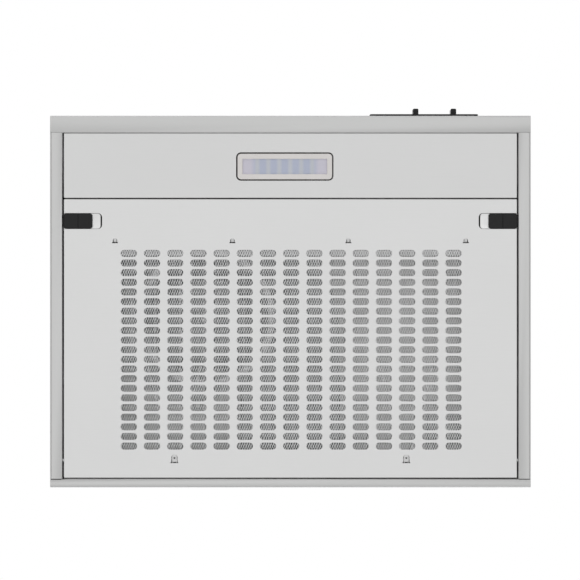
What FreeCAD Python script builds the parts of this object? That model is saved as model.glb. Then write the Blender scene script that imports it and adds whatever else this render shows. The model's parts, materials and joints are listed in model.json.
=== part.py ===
import FreeCAD, Part
import math
import os

# Under-cabinet range hood, 60 cm wide, built as separate pieces. Millimetres, +Z up.
# The origin is the middle of the four cabinet screw holes, on the top face. The front, with the
# slide controls, faces -Y. The slotted filter panel hangs at the bottom and swings down.

# ---------------------------------------------------------------- driving dimensions
# body
body_width = 600.0
body_depth = 464.0
body_height = 130.0
sheet = 1.0             # sheet thickness of the body and of both panels
bend = 1.0              # inside radius of a fold
bend_flats = 1          # flats that round each fold
corner_flats = 3        # flats that round other corners
fascia_height = 55.0    # vertical front face, below the slope
slope_run = 102.0       # how far the slope runs back
front_rim = 21.0
rear_rim = 10.7
side_rim = 15.0
lip_height = 14.0       # the rims' inner edges are turned up by this much
weld_flange = 10.0
slip = 0.3              # clearance between pieces that slip together
through = 1.0           # how far a cut runs past what it cuts

# cabinet screws
screw_span_x = 510.0
screw_span_y = 200.0
screw_hole = 3.25       # radius

# light panel and lamp
panel_inset = 1.0       # the panels sit this far above the rim's face
panel_side_gap = 2.7
light_panel_gap = 1.8
light_panel_depth = 79.0
panel_flange = 12.0     # height of the panels' turned-up edges
hanger_width = 40.0
hanger_reach = 10.0
lamp_x = -7.0
lamp_from_front = 63.4
lamp_length = 120.0     # cut-out
lamp_width = 34.0
lamp_corner = 5.5
lamp_groove = 1.2       # gap between cut-out and lamp frame
lamp_frame_height = 9.0
lamp_ledge = 4.0        # frame behind the panel, wider than the cut-out
window_length = 105.6
window_width = 19.0
window_lip = 1.5
lens_overlap = 2.0
lens_thickness = 1.5
board_thickness = 1.6
chip_count = 6
chip_pitch = 13.7
chip_size = 5.0
chip_height = 1.0
driver_size = (96.0, 36.0, 22.0)
driver_from_side = 150.0
driver_ear = 8.0
driver_ear_thickness = 2.0

# filter panel
panel_gap = 2.3         # light panel to filter panel
rear_gap = 1.0
slot_length = 20.0
slot_width = 8.5
slot_end_flats = 2      # flats that round each slot end
column_pitch = 28.96
row_pitch = 12.03
field_x = 1.0           # middle of the slotted field
first_row_from_front = 67.9
last_row_from_rear = 39.7
outer_column_from_side = 79.6
mesh_thickness = 0.8
mesh_margin = 8.0       # mesh beyond the slotted field, at the sides and the rear
mesh_front_margin = 3.5
hinge_setback = 22.0    # pivot line to the panel's rear edge
hinge_rise = 5.0        # pivot line above the panel's face
hinge_pin_radius = 2.5
pivot_clearance = 0.1
hinge_head_radius = 3.8
hinge_head_thickness = 1.2

# lanced lugs and wire retainers
lug_outer_margin = 16.3 # outer front lugs beyond the middle of the last column
lug_inner_columns = 2.5 # inner front lugs from the middle, in columns
lug_rear_columns = 5.0  # rear lugs from the middle, in columns
lug_front_size = (7.5, 6.0)     # width, length of the opening
lug_rear_size = (9.8, 10.8)
lug_front_gap = 8.5     # base of the front lugs to the first row of slots
lug_rear_gap = 17.0
lug_neck = 2.0          # relief slit wider than the lug by this much in all
lug_slit = 1.2
lug_round = 0.9         # of the lug's half width
wire_radius = 0.8
wire_hairpin = 1.7      # radius of the wire's hairpin at the rear lug
wire_sides = 6
hairpin_flats = 4
wire_tail = 4.0         # wire beyond the lugs
wire_clearance = 0.4

# slide latches
latch_from_front = 27.4
latch_width = 19.5
latch_slot_corner = 5.0
latch_pad_length = 34.7
latch_pad_proud = 0.8   # pad below the panel's face
latch_wing = 7.0        # the slider's wings reach under the panel by this much
latch_thickness = 4.0
latch_wing_length = 25.0
latch_wing_inset = 6.0  # from the pad's outer end
latch_nose_width = 15.0
latch_nose_gap = 0.4
latch_travel = 8.0
latch_finger_room = 4.1 # slot left open beyond the drawn pad
latch_pad_corner = 1.5
latch_groove = 1.2      # width of the grip's groove
catch_slot_height = 7.0
guide_sheet = 1.0
spring_radius = 2.2
spring_bore = 1.6
spring_closed = 13.3    # length of the springs when the latch is drawn

# controls
plate_from_side = 132.3  # plate's middle to the body's right side
plate_length = 135.8
plate_height = 34.0
plate_thickness = 3.0
plate_corner = 3.0
plate_centre_from_rim = 27.5
fan_knob_left = 9.8     # fan knob at rest, left of the plate's middle
fan_travel = 30.0
light_knob_right = 37.8 # light knob at rest, right of the plate's middle
light_travel = 12.0
knob_width = 7.0
knob_height = 14.0
knob_proud = 11.0       # beyond the fascia
knob_corner = 1.5
stem_width = 4.0
stem_height = 4.0
stem_slot_margin = 0.5
switch_depth = 18.0
switch_height = 20.0
switch_wall = 5.0
switch_tabs = 3
tab_size = (0.8, 4.8, 7.0)      # thickness, width and length of a push-on terminal
stem_end_gap = 1.0      # stem's end to the floor of its channel

# blower
turned_sides = 24       # facets of the large turned pieces inside
small_sides = 6         # facets of screws, springs and the like
wheel_x = -108.0
wheel_to_duct = 143.0   # wheel's axis in front of the duct's
wheel_radius = 90.0
blade_count = 24
blade_length = 14.0     # radial
blade_height = 64.0
blade_thickness = 0.8
blade_sweep = 7.0       # degrees from the inner edge to the tip
blade_bow = 2.5         # degrees that the blade's middle lags
wheel_sheet = 1.0
wheel_ring_height = 9.0
scroll_sheet = 1.2
wheel_floor_gap = 8.8   # cover to the blades' lower ends
tongue_gap = 9.0        # wheel to the scroll at the tongue
outlet_side_gap = 2.0   # duct to the outlet box at each side
scroll_points = 14
outlet_gap = 8.0        # outlet box to the body's back
wheel_drop = 9.0        # housing top to the wheel's back plate
inlet_inset = 3.0       # inlet's edge inside the blades' inner ends
inlet_gap = 2.8         # inlet's cone to the wheel
inlet_flare = 8.0
cone_margin = 0.01      # the bore's cone runs past both faces by this much
guard_ring_width = 8.0
guard_bars = 9
guard_bar = 1.6
guard_thickness = 1.5
motor_radius = 46.0
motor_height = 42.0
motor_gap = 4.0         # motor to the wheel's dish
motor_drop = 5.0        # grommets above the motor
grommet_count = 3
grommet_radius = 6.0
grommet_circle = 36.0   # radius of their circle
motor_cap_radius = 20.0
motor_cap_height = 5.0
shaft_radius = 4.0
shaft_clearance = 0.05
shaft_buried = 20.0
hub_radius = 10.0
hub_height = 8.0
nut_across = 13.0
nut_height = 6.0
capacitor_size = (50.0, 30.0, 26.0)
capacitor_to_box = 96.0 # capacitor's middle to the junction box's middle
capacitor_from_back = 47.0
capacitor_corner = 4.0
ear_size = 12.0         # screw ears round the scroll
ear_angles = (95.0, 160.0, 215.0, 270.0, 325.0)
screw_radius = 1.8
screw_head_radius = 3.6
screw_head_height = 2.0
screw_length = 7.0

# duct collar and damper
duct_radius = 60.0      # outside
duct_wall = 1.5
duct_rise = 45.0        # above the top face
duct_from_back = 69.0
duct_clearance = 1.0    # collar to the hole in the top
collar_margin = 6.0     # square flange under the top, wider than the duct by this on each side
flap_gap = 1.2          # flap edge to collar wall
flap_thickness = 1.5
flap_height = 6.0       # closed flaps above the top face
flap_spacing = 5.0      # between the two pin lines
flap_knuckle = 2.2      # radius
flap_pin_radius = 1.2
flap_pin_inset = 0.8    # the pins end this far inside the collar's outside
stop_width = 12.0
stop_depth = 3.0
stop_height = 2.5
collar_corner = 6.0

# electrical parts
box_size = (92.0, 80.0, 44.0)
box_from_side = 74.0    # junction box's middle to the body's right side
box_sheet = 1.0
bush_from_top = 22.0
bush_radius = 9.0
bush_bore = 4.0
bush_flange = 3.0
terminal_size = (34.0, 18.0, 16.0)
terminal_ways = 3
terminal_way = 6.0      # square opening of each way

# ---------------------------------------------------------------- places worked out from them
half_width = body_width / 2
front_y = -body_depth / 2
back_y = body_depth / 2
rim_z = -body_height
slope_y = front_y + slope_run
fascia_top_z = rim_z + fascia_height
rim_front_y = front_y + front_rim
rim_rear_y = back_y - rear_rim
rim_side_x = half_width - side_rim
lip_top_z = rim_z + lip_height
under_top_z = -sheet

panel_z = rim_z + panel_inset
panel_top_z = panel_z + sheet
panel_half_width = rim_side_x - panel_side_gap
light_front_y = rim_front_y + light_panel_gap
light_rear_y = light_front_y + light_panel_depth
door_front_y = light_rear_y + panel_gap
door_rear_y = rim_rear_y - rear_gap
lamp_y = front_y + lamp_from_front

slot_rows = 1 + round((door_rear_y - door_front_y - first_row_from_front - last_row_from_rear) / row_pitch)
slot_columns = 1 + round(2 * (panel_half_width - outer_column_from_side) / column_pitch)
first_row_y = door_front_y + first_row_from_front
last_row_y = first_row_y + (slot_rows - 1) * row_pitch
first_column_x = field_x - (slot_columns - 1) * column_pitch / 2
last_column_x = field_x + (slot_columns - 1) * column_pitch / 2
lug_outer_x = (last_column_x - first_column_x) / 2 + lug_outer_margin
lug_inner_x = lug_inner_columns * column_pitch
lug_rear_x = lug_rear_columns * column_pitch
mesh_z = panel_top_z
mesh_top_z = mesh_z + 2 * mesh_thickness
wire_z = mesh_top_z + wire_radius
lug_front_y = first_row_y - lug_front_gap - slot_width / 2
lug_rear_y = last_row_y + slot_width / 2 + lug_rear_gap
hinge_y = door_rear_y - hinge_setback
hinge_z = panel_z + hinge_rise

latch_y = door_front_y + latch_from_front
latch_slot_x = panel_half_width - slip - latch_pad_length - latch_travel - latch_finger_room
slider_z = panel_top_z + slip
wing_outer_x = panel_half_width - latch_wing_inset
wing_inner_x = wing_outer_x - latch_wing_length
wing_half_width = latch_width / 2 + latch_wing
guide_inner_x = wing_inner_x - latch_travel - spring_closed - guide_sheet
guide_z = slider_z + latch_thickness + slip

plate_centre_x = half_width - plate_from_side
plate_z = rim_z + plate_centre_from_rim
fan_knob_x = plate_centre_x - fan_knob_left
light_knob_x = plate_centre_x + light_knob_right
driver_x = half_width - driver_from_side
box_x = half_width - box_from_side
capacitor_x = box_x - capacitor_to_box
capacitor_y = back_y - capacitor_from_back
duct_y = back_y - duct_from_back
collar_flange = 2 * (duct_radius + collar_margin)
wheel_y = duct_y - wheel_to_duct
inlet_radius = wheel_radius - blade_length - inlet_inset
inlet_rise = wheel_floor_gap - inlet_gap
scroll_height = scroll_sheet + wheel_drop + wheel_sheet + blade_height + wheel_floor_gap
scroll_start = wheel_radius + tongue_gap
scroll_top_z = under_top_z
scroll_bottom_z = scroll_top_z - scroll_height
wheel_top_z = scroll_top_z - scroll_sheet - wheel_drop
wheel_bottom_z = wheel_top_z - wheel_sheet - blade_height
motor_top_z = scroll_top_z - scroll_sheet - motor_drop
motor_bottom_z = motor_top_z - motor_height
dish_radius = motor_radius + motor_gap
dish_z = motor_bottom_z - motor_cap_height - motor_gap
outlet_x = duct_radius + outlet_side_gap
scroll_end = outlet_x - wheel_x
tongue_x = -outlet_x
tongue_angle = math.degrees(math.acos((tongue_x - wheel_x) / scroll_start))
tongue_y = wheel_y + scroll_start * math.sin(math.radians(tongue_angle))
outlet_rear_y = back_y - sheet - outlet_gap
guard_z = scroll_bottom_z - scroll_sheet


def vec(x, y, z):
    return FreeCAD.Vector(x, y, z)


X_AXIS = vec(1, 0, 0)
Z_AXIS = vec(0, 0, 1)


# ---------------------------------------------------------------- shape helpers
def box(x0, x1, y0, y1, z0, z1):
    return Part.makeBox(x1 - x0, y1 - y0, z1 - z0, vec(x0, y0, z0))


def rod(radius, start, end):
    return Part.makeCylinder(radius, (end - start).Length, start, end - start)


def joined(shapes):
    first = shapes[0]
    if len(shapes) == 1:
        return first
    return first.multiFuse(shapes[1:]).removeSplitter()


def mirrored(shape):
    """The same shape on the other side of the hood's middle plane."""
    return shape.mirror(vec(0, 0, 0), X_AXIS)


def rounded_corners(corners, radii, flats):
    """Points of a closed outline: each corner becomes an arc of its radius, in this many flats."""
    points = []
    for i, corner in enumerate(corners):
        here = vec(*corner, 0)
        to_last = (vec(*corners[i - 1], 0) - here).normalize()
        to_next = (vec(*corners[(i + 1) % len(corners)], 0) - here).normalize()
        if radii[i] <= 0:
            points.append(corner)
            continue
        half_angle = to_last.getAngle(to_next) / 2
        centre = here + (to_last + to_next).normalize() * (radii[i] / math.sin(half_angle))
        first = (here + to_last * (radii[i] / math.tan(half_angle)) - centre).normalize()
        last = (here + to_next * (radii[i] / math.tan(half_angle)) - centre).normalize()
        sweep = first.getAngle(last)
        for k in range(flats + 1):
            share = k / flats
            ray = (first * math.sin((1 - share) * sweep) + last * math.sin(share * sweep)).normalize()
            points.append((centre.x + ray.x * radii[i], centre.y + ray.y * radii[i]))
    return points


def prism(points, place, along):
    """Solid over a closed outline of 2-D points; place puts a point in space, along is the push."""
    ring = [place(x, y) for x, y in points]
    return Part.Face(Part.makePolygon(ring + ring[:1])).extrude(along)


def offset_left(line, distance):
    """An open 2-D line moved to its left, with its corners mitred."""
    points = [FreeCAD.Vector(*p, 0) for p in line]
    steps = [(b - a).normalize() for a, b in zip(points, points[1:])]
    lefts = [vec(-s.y, s.x, 0) for s in steps]
    moved = [points[0] + lefts[0] * distance]
    for point, before, after in zip(points[1:-1], lefts, lefts[1:]):
        moved.append(point + (before + after) * (distance / (1 + before.dot(after))))
    moved.append(points[-1] + lefts[-1] * distance)
    return [(p.x, p.y) for p in moved]


def folded(line, place, along):
    """Bent sheet: the line is its face, the metal lies to the left of it, every corner has a bend."""
    inner = offset_left(line, sheet)
    outer_radii = [0.0]
    inner_radii = [0.0]
    for a, b, c in zip(line, line[1:], line[2:]):
        turn = (b[0] - a[0]) * (c[1] - b[1]) - (b[1] - a[1]) * (c[0] - b[0])
        outer_radii.append(bend + sheet if turn > 0 else bend)
        inner_radii.append(bend if turn > 0 else bend + sheet)
    outer_radii.append(0.0)
    inner_radii.append(0.0)
    section = rounded_corners(line + inner[::-1], outer_radii + inner_radii[::-1], bend_flats)
    return prism(section, place, along)


def rounded_block(centre_x, centre_y, length, width, corner, z0, z1):
    """Flat block with rounded upright edges."""
    x = length / 2
    y = width / 2
    corners = [(-x, -y), (x, -y), (x, y), (-x, y)]
    points = rounded_corners(corners, [corner] * 4, corner_flats)
    return prism(points, lambda px, py: vec(centre_x + px, centre_y + py, z0), vec(0, 0, z1 - z0))


def ngon(radius, sides, centre_x, centre_y, turn=0.0):
    points = []
    for i in range(sides):
        angle = math.radians(turn + 360.0 * i / sides)
        points.append((centre_x + radius * math.cos(angle), centre_y + radius * math.sin(angle)))
    return points


def flat_prism(points, z0, z1):
    """Upright prism over plan points."""
    return prism(points, lambda x, y: vec(x, y, z0), vec(0, 0, z1 - z0))


def faceted_rod(radius, sides, start, end):
    """Rod of flats: its corners lie at the radius."""
    axis = end - start
    turn = FreeCAD.Rotation(Z_AXIS, axis)
    ring = [start + turn.multVec(vec(x, y, 0)) for x, y in ngon(radius, sides, 0, 0)]
    return Part.Face(Part.makePolygon(ring + ring[:1])).extrude(axis)


def round_clear(radius, sides):
    """Corner radius of a faceted hole whose flats touch a round of this radius."""
    return radius / math.cos(math.pi / sides)


def drum(radius, z0, z1, turn=0.0):
    """Faceted disc about the wheel's axis."""
    return flat_prism(ngon(radius, turned_sides, wheel_x, wheel_y, turn), z0, z1)


def tray(x0, x1, y0, y1, height):
    """Panel with its four edges turned up."""
    outside = box(x0, x1, y0, y1, panel_z, panel_z + height)
    inside = box(x0 + sheet, x1 - sheet, y0 + sheet, y1 - sheet, panel_top_z, panel_z + height)
    return outside.cut(inside)


# ---------------------------------------------------------------- body
def wrap_line():
    """Section of the wrap in Y and Z: rear lip, rim, back, top, slope, fascia, front rim, lip."""
    return [
        (rim_rear_y, lip_top_z),
        (rim_rear_y, rim_z),
        (back_y, rim_z),
        (back_y, 0.0),
        (slope_y, 0.0),
        (front_y, fascia_top_z),
        (front_y, rim_z),
        (rim_front_y, rim_z),
        (rim_front_y, lip_top_z),
    ]


def body_wrap():
    wrap = folded(wrap_line(), lambda y, z: vec(-half_width, y, z), vec(body_width, 0, 0))
    hole_radius = round_clear(duct_radius + duct_clearance, turned_sides)
    cuts = [flat_prism(ngon(hole_radius, turned_sides, 0, duct_y), under_top_z - through, through)]
    for x in (-screw_span_x / 2, screw_span_x / 2):
        for y in (-screw_span_y / 2, screw_span_y / 2):
            cuts.append(rod(screw_hole, vec(x, y, under_top_z - through), vec(x, y, through)))
    for x0, x1 in (switch_span(fan_knob_x, fan_travel), switch_span(light_knob_x, light_travel)):
        z = switch_height / 2 + slip
        cuts.append(box(x0 - slip, x1 + slip, front_y - through, front_y + sheet + through,
                        plate_z - z, plate_z + z))
    cuts.append(bush_prism(bush_radius, back_y - sheet - through, back_y + through))
    for side in (-1, 1):
        ends = sorted((side * (half_width - sheet - slip), side * (half_width + through)))
        for y0, y1 in ((rim_front_y - sheet, rim_front_y), (rim_rear_y, rim_rear_y + sheet)):
            cuts.append(box(*ends, y0 - bend, y1 + bend, rim_z + sheet, lip_top_z + through))
    return wrap.cut(cuts)


def side_panel():
    """Left side: wall inside the wrap, rim and lip between the front and rear rims."""
    inner = offset_left(wrap_line(), sheet)
    wall_points = [
        (rim_rear_y, rim_z),
        (rim_rear_y, rim_z + sheet),
        inner[2],
        inner[3],
        inner[4],
        inner[5],
        inner[6],
        (rim_front_y, rim_z + sheet),
        (rim_front_y, rim_z),
    ]
    radii = [0, 0, bend, bend, bend, bend, bend, 0, 0]
    wall_points = rounded_corners(wall_points, radii, bend_flats)
    wall = prism(wall_points, lambda y, z: vec(-half_width, y, z), vec(sheet, 0, 0))
    rim_line = [
        (-half_width, lip_top_z),
        (-half_width, rim_z),
        (-rim_side_x, rim_z),
        (-rim_side_x, lip_top_z),
    ]
    run = vec(0, rim_rear_y - rim_front_y, 0)
    rim = folded(rim_line, lambda x, z: vec(x, rim_front_y, z), run)
    inside_x = -half_width + sheet
    top_weld = box(inside_x, inside_x + weld_flange, slope_y + weld_flange, back_y - weld_flange,
                   under_top_z - sheet, under_top_z)
    back_weld = box(inside_x, inside_x + weld_flange, back_y - 2 * sheet, back_y - sheet,
                    lip_top_z, under_top_z - weld_flange)
    lip_x = -rim_side_x
    hole_radius = round_clear(hinge_pin_radius + pivot_clearance, small_sides)
    pin_hole = faceted_rod(hole_radius, small_sides, vec(lip_x - sheet - through, hinge_y, hinge_z),
                           vec(lip_x + through, hinge_y, hinge_z))
    catch_z = slider_z - slip
    catch = box(lip_x - sheet - through, lip_x + through, latch_y - latch_width / 2,
                latch_y + latch_width / 2, catch_z, catch_z + catch_slot_height)
    return joined([wall, rim, top_weld, back_weld]).cut([pin_hole, catch])


# ---------------------------------------------------------------- light panel and lamp
def lamp_block(grow, z0, z1):
    """Block of the lamp's outline, larger than the cut-out by grow on every side."""
    return rounded_block(lamp_x, lamp_y, lamp_length + 2 * grow, lamp_width + 2 * grow,
                         lamp_corner + grow, z0, z1)


def light_panel():
    panel = tray(-panel_half_width, panel_half_width, light_front_y, light_rear_y, panel_flange)
    middle = (light_front_y + light_rear_y) / 2
    hangers = []
    for side in (-1, 1):
        ends = sorted((side * (panel_half_width - sheet), side * (rim_side_x + hanger_reach)))
        y0 = middle - hanger_width / 2
        y1 = middle + hanger_width / 2
        hangers.append(box(*ends, y0, y1, lip_top_z, lip_top_z + sheet))
        wall = sorted((side * (panel_half_width - sheet), side * panel_half_width))
        hangers.append(box(*wall, y0, y1, panel_z + panel_flange, lip_top_z + sheet))
    return joined([panel] + hangers).cut(lamp_block(0, panel_z - through, panel_top_z + through))


def led_frame():
    """Lamp housing: face in the cut-out, ledge behind the panel, window with an inner lip."""
    face_z = panel_z
    top_z = panel_z + lamp_frame_height
    body = lamp_block(-lamp_groove, face_z, top_z)
    ledge = lamp_block(lamp_ledge, panel_top_z, panel_top_z + window_lip)
    window = box(lamp_x - window_length / 2, lamp_x + window_length / 2,
                 lamp_y - window_width / 2, lamp_y + window_width / 2, face_z - through, top_z + through)
    reach_x = window_length / 2 + lens_overlap
    reach_y = window_width / 2 + lens_overlap
    pocket = box(lamp_x - reach_x, lamp_x + reach_x, lamp_y - reach_y, lamp_y + reach_y,
                 face_z + window_lip, top_z + through)
    return joined([body, ledge]).cut([window, pocket])


def lamp_insert(z0, thickness):
    """Plate that drops into the lamp housing's pocket."""
    reach_x = window_length / 2 + lens_overlap - slip
    reach_y = window_width / 2 + lens_overlap - slip
    return box(lamp_x - reach_x, lamp_x + reach_x, lamp_y - reach_y, lamp_y + reach_y, z0, z0 + thickness)


def led_lens():
    return lamp_insert(panel_z + window_lip, lens_thickness)


def led_board():
    """Circuit board with its row of LED chips facing down."""
    board_z = panel_z + lamp_frame_height - board_thickness
    chips = []
    for i in range(chip_count):
        x = lamp_x + (i - (chip_count - 1) / 2) * chip_pitch
        half = chip_size / 2
        chips.append(box(x - half, x + half, lamp_y - half, lamp_y + half, board_z - chip_height, board_z))
    return joined([lamp_insert(board_z, board_thickness)] + chips)


def led_driver():
    length, width, height = driver_size
    x0 = driver_x - length / 2
    y0 = (light_front_y + light_rear_y) / 2 - width / 2
    z0 = panel_top_z
    body = box(x0, x0 + length, y0, y0 + width, z0, z0 + height)
    ears = box(x0 - driver_ear, x0 + length + driver_ear, y0 + width / 4, y0 + 3 * width / 4,
               z0, z0 + driver_ear_thickness)
    return joined([body, ears])


# ---------------------------------------------------------------- filter panel
def slot_outline(x, y):
    """Obround slot, each end a half circle of a few flats."""
    radius = slot_width / 2
    straight = slot_length / 2 - radius
    points = []
    for side, start in ((1, -90.0), (-1, 90.0)):
        for i in range(slot_end_flats + 1):
            angle = math.radians(start + 180.0 * i / slot_end_flats)
            points.append((x + side * straight + radius * math.cos(angle), y + radius * math.sin(angle)))
    return points


def slot_field():
    """All the slots as one group of cutters."""
    cutters = []
    for column in range(slot_columns):
        for row in range(slot_rows):
            outline = slot_outline(first_column_x + column * column_pitch, first_row_y + row * row_pitch)
            cutters.append(flat_prism(outline, panel_z - through, panel_top_z + through))
    return cutters


def lug(x, y, size):
    """Lanced lug: the opening it leaves, its relief slit, and the tab turned up at the opening's base."""
    width, length = size
    half = (width - lug_neck) / 2
    corners = [(-half, 0), (half, 0), (half, length), (-half, length)]
    arch = rounded_corners(corners, [0, 0, half * lug_round, half * lug_round], corner_flats - 1)
    opening = prism(arch, lambda px, py: vec(x + px, y - py, panel_z - through),
                    vec(0, 0, sheet + 2 * through))
    slit = box(x - width / 2, x + width / 2, y - lug_slit, y, panel_z - through, panel_top_z + through)
    tab = prism(arch, lambda px, py: vec(x + px, y, panel_z + py), vec(0, sheet, 0))
    eye_half = min(wire_hairpin + wire_radius + wire_clearance, half - sheet)
    eye = box(x - eye_half, x + eye_half, y - through, y + sheet + through,
              wire_z - wire_radius - wire_clearance, wire_z + wire_radius + wire_clearance)
    return [opening, slit], tab.cut(eye)


def latch_opening(side):
    """Latch slot in the panel's face, open at the panel's edge, and the notch in its turned-up edge."""
    outer_x = panel_half_width + through
    half = latch_width / 2
    corners = [(latch_slot_x, -half), (outer_x, -half), (outer_x, half), (latch_slot_x, half)]
    outline = rounded_corners(corners, [latch_slot_corner, 0, 0, latch_slot_corner], corner_flats)
    slot = prism(outline, lambda x, y: vec(side * x, latch_y + y, panel_z - through),
                 vec(0, 0, sheet + 2 * through))
    ends = sorted((side * (panel_half_width - sheet - through), side * outer_x))
    notch = box(*ends, latch_y - half, latch_y + half, panel_z - through, guide_z)
    return [slot, notch]


def filter_panel():
    panel = tray(-panel_half_width, panel_half_width, door_front_y, door_rear_y, panel_flange)
    cuts = slot_field()
    tabs = []
    for side in (-1, 1):
        for x, y, size in ((lug_outer_x, lug_front_y, lug_front_size),
                           (lug_inner_x, lug_front_y, lug_front_size),
                           (lug_rear_x, lug_rear_y, lug_rear_size)):
            openings, tab = lug(side * x, y, size)
            cuts += openings
            tabs.append(tab)
        cuts += latch_opening(side)
        inner_x = side * (panel_half_width - sheet - through)
        outer_x = side * (panel_half_width + through)
        cuts.append(faceted_rod(round_clear(hinge_pin_radius, small_sides), small_sides,
                                vec(inner_x, hinge_y, hinge_z), vec(outer_x, hinge_y, hinge_z)))
    return joined([panel.cut(cuts)] + tabs)


def mesh_layer(z0):
    """One layer of expanded mesh, as a plain mat."""
    side = slot_length / 2 + mesh_margin
    return box(first_column_x - side, last_column_x + side,
               first_row_y - slot_width / 2 - mesh_front_margin, last_row_y + slot_width / 2 + mesh_margin,
               z0, z0 + mesh_thickness)


def hairpin_line(rear_x, left_x, right_x):
    """Centre line of a V wire in plan: up one leg, round the hairpin and down the other."""
    centre = vec(rear_x, lug_rear_y + wire_tail - wire_hairpin, 0)
    line = []
    for side, x in ((1, left_x), (-1, right_x)):
        start = vec(x, lug_front_y - wire_tail, 0)
        leg = start - centre
        turn = side * math.acos(wire_hairpin / leg.Length)
        heading = math.atan2(leg.y, leg.x) - turn
        line.append((start, math.degrees(heading)))
    (first_end, first), (last_end, last) = line
    sweep = (first - last) % 360
    points = [first_end]
    for k in range(hairpin_flats + 1):
        angle = math.radians(first - sweep * k / hairpin_flats)
        points.append(centre + vec(math.cos(angle), math.sin(angle), 0) * wire_hairpin)
    points.append(last_end)
    return [vec(p.x, p.y, wire_z) for p in points]


def mesh_retainer(rear_x, left_x, right_x):
    """V of spring wire: its hairpin in a rear lug, its ends in two front lugs."""
    line = hairpin_line(rear_x, left_x, right_x)
    sections = []
    for i, point in enumerate(line):
        before = (point - line[i - 1]).normalize() if i > 0 else None
        after = (line[i + 1] - point).normalize() if i < len(line) - 1 else None
        along = (before + after).normalize() if before and after else before or after
        reach = 1 / along.dot(after or before)
        across = Z_AXIS.cross(along) * reach
        ring = []
        for x, y in ngon(wire_radius, wire_sides, 0, 0):
            ring.append(point + across * x + Z_AXIS * y)
        sections.append(Part.makePolygon(ring + ring[:1]))
    return Part.makeLoft(sections, True, True)


def hinge_pin(side):
    """Pivot pin riveted in the panel's side edge, its end in the side panel's lip."""
    inner_x = side * (panel_half_width - sheet)
    head = faceted_rod(hinge_head_radius, small_sides,
                       vec(inner_x - side * hinge_head_thickness, hinge_y, hinge_z),
                       vec(inner_x, hinge_y, hinge_z))
    stem = rod(hinge_pin_radius, vec(inner_x, hinge_y, hinge_z),
               vec(side * (rim_side_x + 2 * sheet), hinge_y, hinge_z))
    return head.fuse(stem)


# ---------------------------------------------------------------- latches, made on the left side
def latch_slider():
    """Finger pad in the slot, wings above the panel, nose towards the side lip."""
    outer_x = panel_half_width - slip
    inner_x = outer_x - latch_pad_length
    half = latch_width / 2 - slip
    corners = [(-outer_x, -half), (-inner_x, -half), (-inner_x, half), (-outer_x, half)]
    outline = rounded_corners(corners, [latch_pad_corner, 0, 0, latch_pad_corner], corner_flats)
    face_z = panel_z - latch_pad_proud
    pad = prism(outline, lambda x, y: vec(x, latch_y + y, face_z), vec(0, 0, slider_z - face_z))
    groove_x = -(outer_x + inner_x) / 2
    groove = box(groove_x - latch_groove / 2, groove_x + latch_groove / 2, latch_y - half - through,
                 latch_y + half + through, face_z - through, face_z + latch_groove / 2)
    wings = box(-wing_outer_x, -wing_inner_x, latch_y - wing_half_width, latch_y + wing_half_width,
                slider_z, slider_z + latch_thickness)
    nose = box(-(rim_side_x - latch_nose_gap), -wing_outer_x, latch_y - latch_nose_width / 2,
               latch_y + latch_nose_width / 2, slider_z, slider_z + latch_thickness)
    back = box(-wing_inner_x, -inner_x, latch_y - half, latch_y + half,
               slider_z, slider_z + latch_thickness / 2)
    return joined([pad.cut(groove), wings, nose, back])


def latch_guide():
    """Folded channel over the slider, closed at its inner end, where the springs bear."""
    outer_x = panel_half_width - 2 * sheet
    half = wing_half_width + slip + guide_sheet
    outside = box(-outer_x, -guide_inner_x, latch_y - half, latch_y + half,
                  panel_top_z, guide_z + guide_sheet)
    inside = box(-outer_x - through, -guide_inner_x - guide_sheet, latch_y - half + guide_sheet,
                 latch_y + half - guide_sheet, panel_top_z - through, guide_z)
    return outside.cut(inside)


def latch_springs():
    """The two return springs of one latch, as the tubes that they fill."""
    springs = []
    for side in (-1, 1):
        y = latch_y + side * (wing_half_width - spring_radius - slip)
        z = slider_z + spring_radius - slip / 2
        start = vec(-wing_inner_x, y, z)
        end = vec(-guide_inner_x - guide_sheet, y, z)
        coil = faceted_rod(spring_radius, small_sides, start, end)
        springs.append(coil.cut(faceted_rod(spring_bore, small_sides, start, end)))
    return Part.makeCompound(springs)


# ---------------------------------------------------------------- controls
def knob_span(knob_x, travel):
    """Ends of the stem's slot: each knob rests at its right end and slides left."""
    margin = stem_width / 2 + stem_slot_margin
    return knob_x - travel - margin, knob_x + margin


def switch_span(knob_x, travel):
    x0, x1 = knob_span(knob_x, travel)
    return x0 - switch_wall, x1 + switch_wall


def stem_slot(knob_x, travel, y0, y1):
    x0, x1 = knob_span(knob_x, travel)
    half = stem_height / 2 + stem_slot_margin
    return box(x0, x1, y0, y1, plate_z - half, plate_z + half)


def control_plate():
    x = plate_length / 2
    z = plate_height / 2
    outline = rounded_corners([(-x, -z), (x, -z), (x, z), (-x, z)], [plate_corner] * 4, corner_flats)
    plate = prism(outline, lambda px, pz: vec(plate_centre_x + px, front_y - plate_thickness, plate_z + pz),
                  vec(0, plate_thickness, 0))
    slots = []
    for knob_x, travel in ((fan_knob_x, fan_travel), (light_knob_x, light_travel)):
        slots.append(stem_slot(knob_x, travel, front_y - plate_thickness - through, front_y + through))
    return plate.cut(slots)


def slide_switch(knob_x, travel):
    """Switch behind the plate, with the channel that the knob's stem runs in and its terminals."""
    x0, x1 = switch_span(knob_x, travel)
    half = switch_height / 2
    body = box(x0, x1, front_y, front_y + switch_depth, plate_z - half, plate_z + half)
    channel = stem_slot(knob_x, travel, front_y - through, front_y + switch_depth / 2)
    thick, wide, long = tab_size
    tabs = []
    for i in range(switch_tabs):
        x = x0 + (x1 - x0) * (i + 1) / (switch_tabs + 1)
        tabs.append(box(x - thick / 2, x + thick / 2, front_y + switch_depth, front_y + switch_depth + long,
                        plate_z - wide / 2, plate_z + wide / 2))
    return joined([body.cut(channel)] + tabs)


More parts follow.
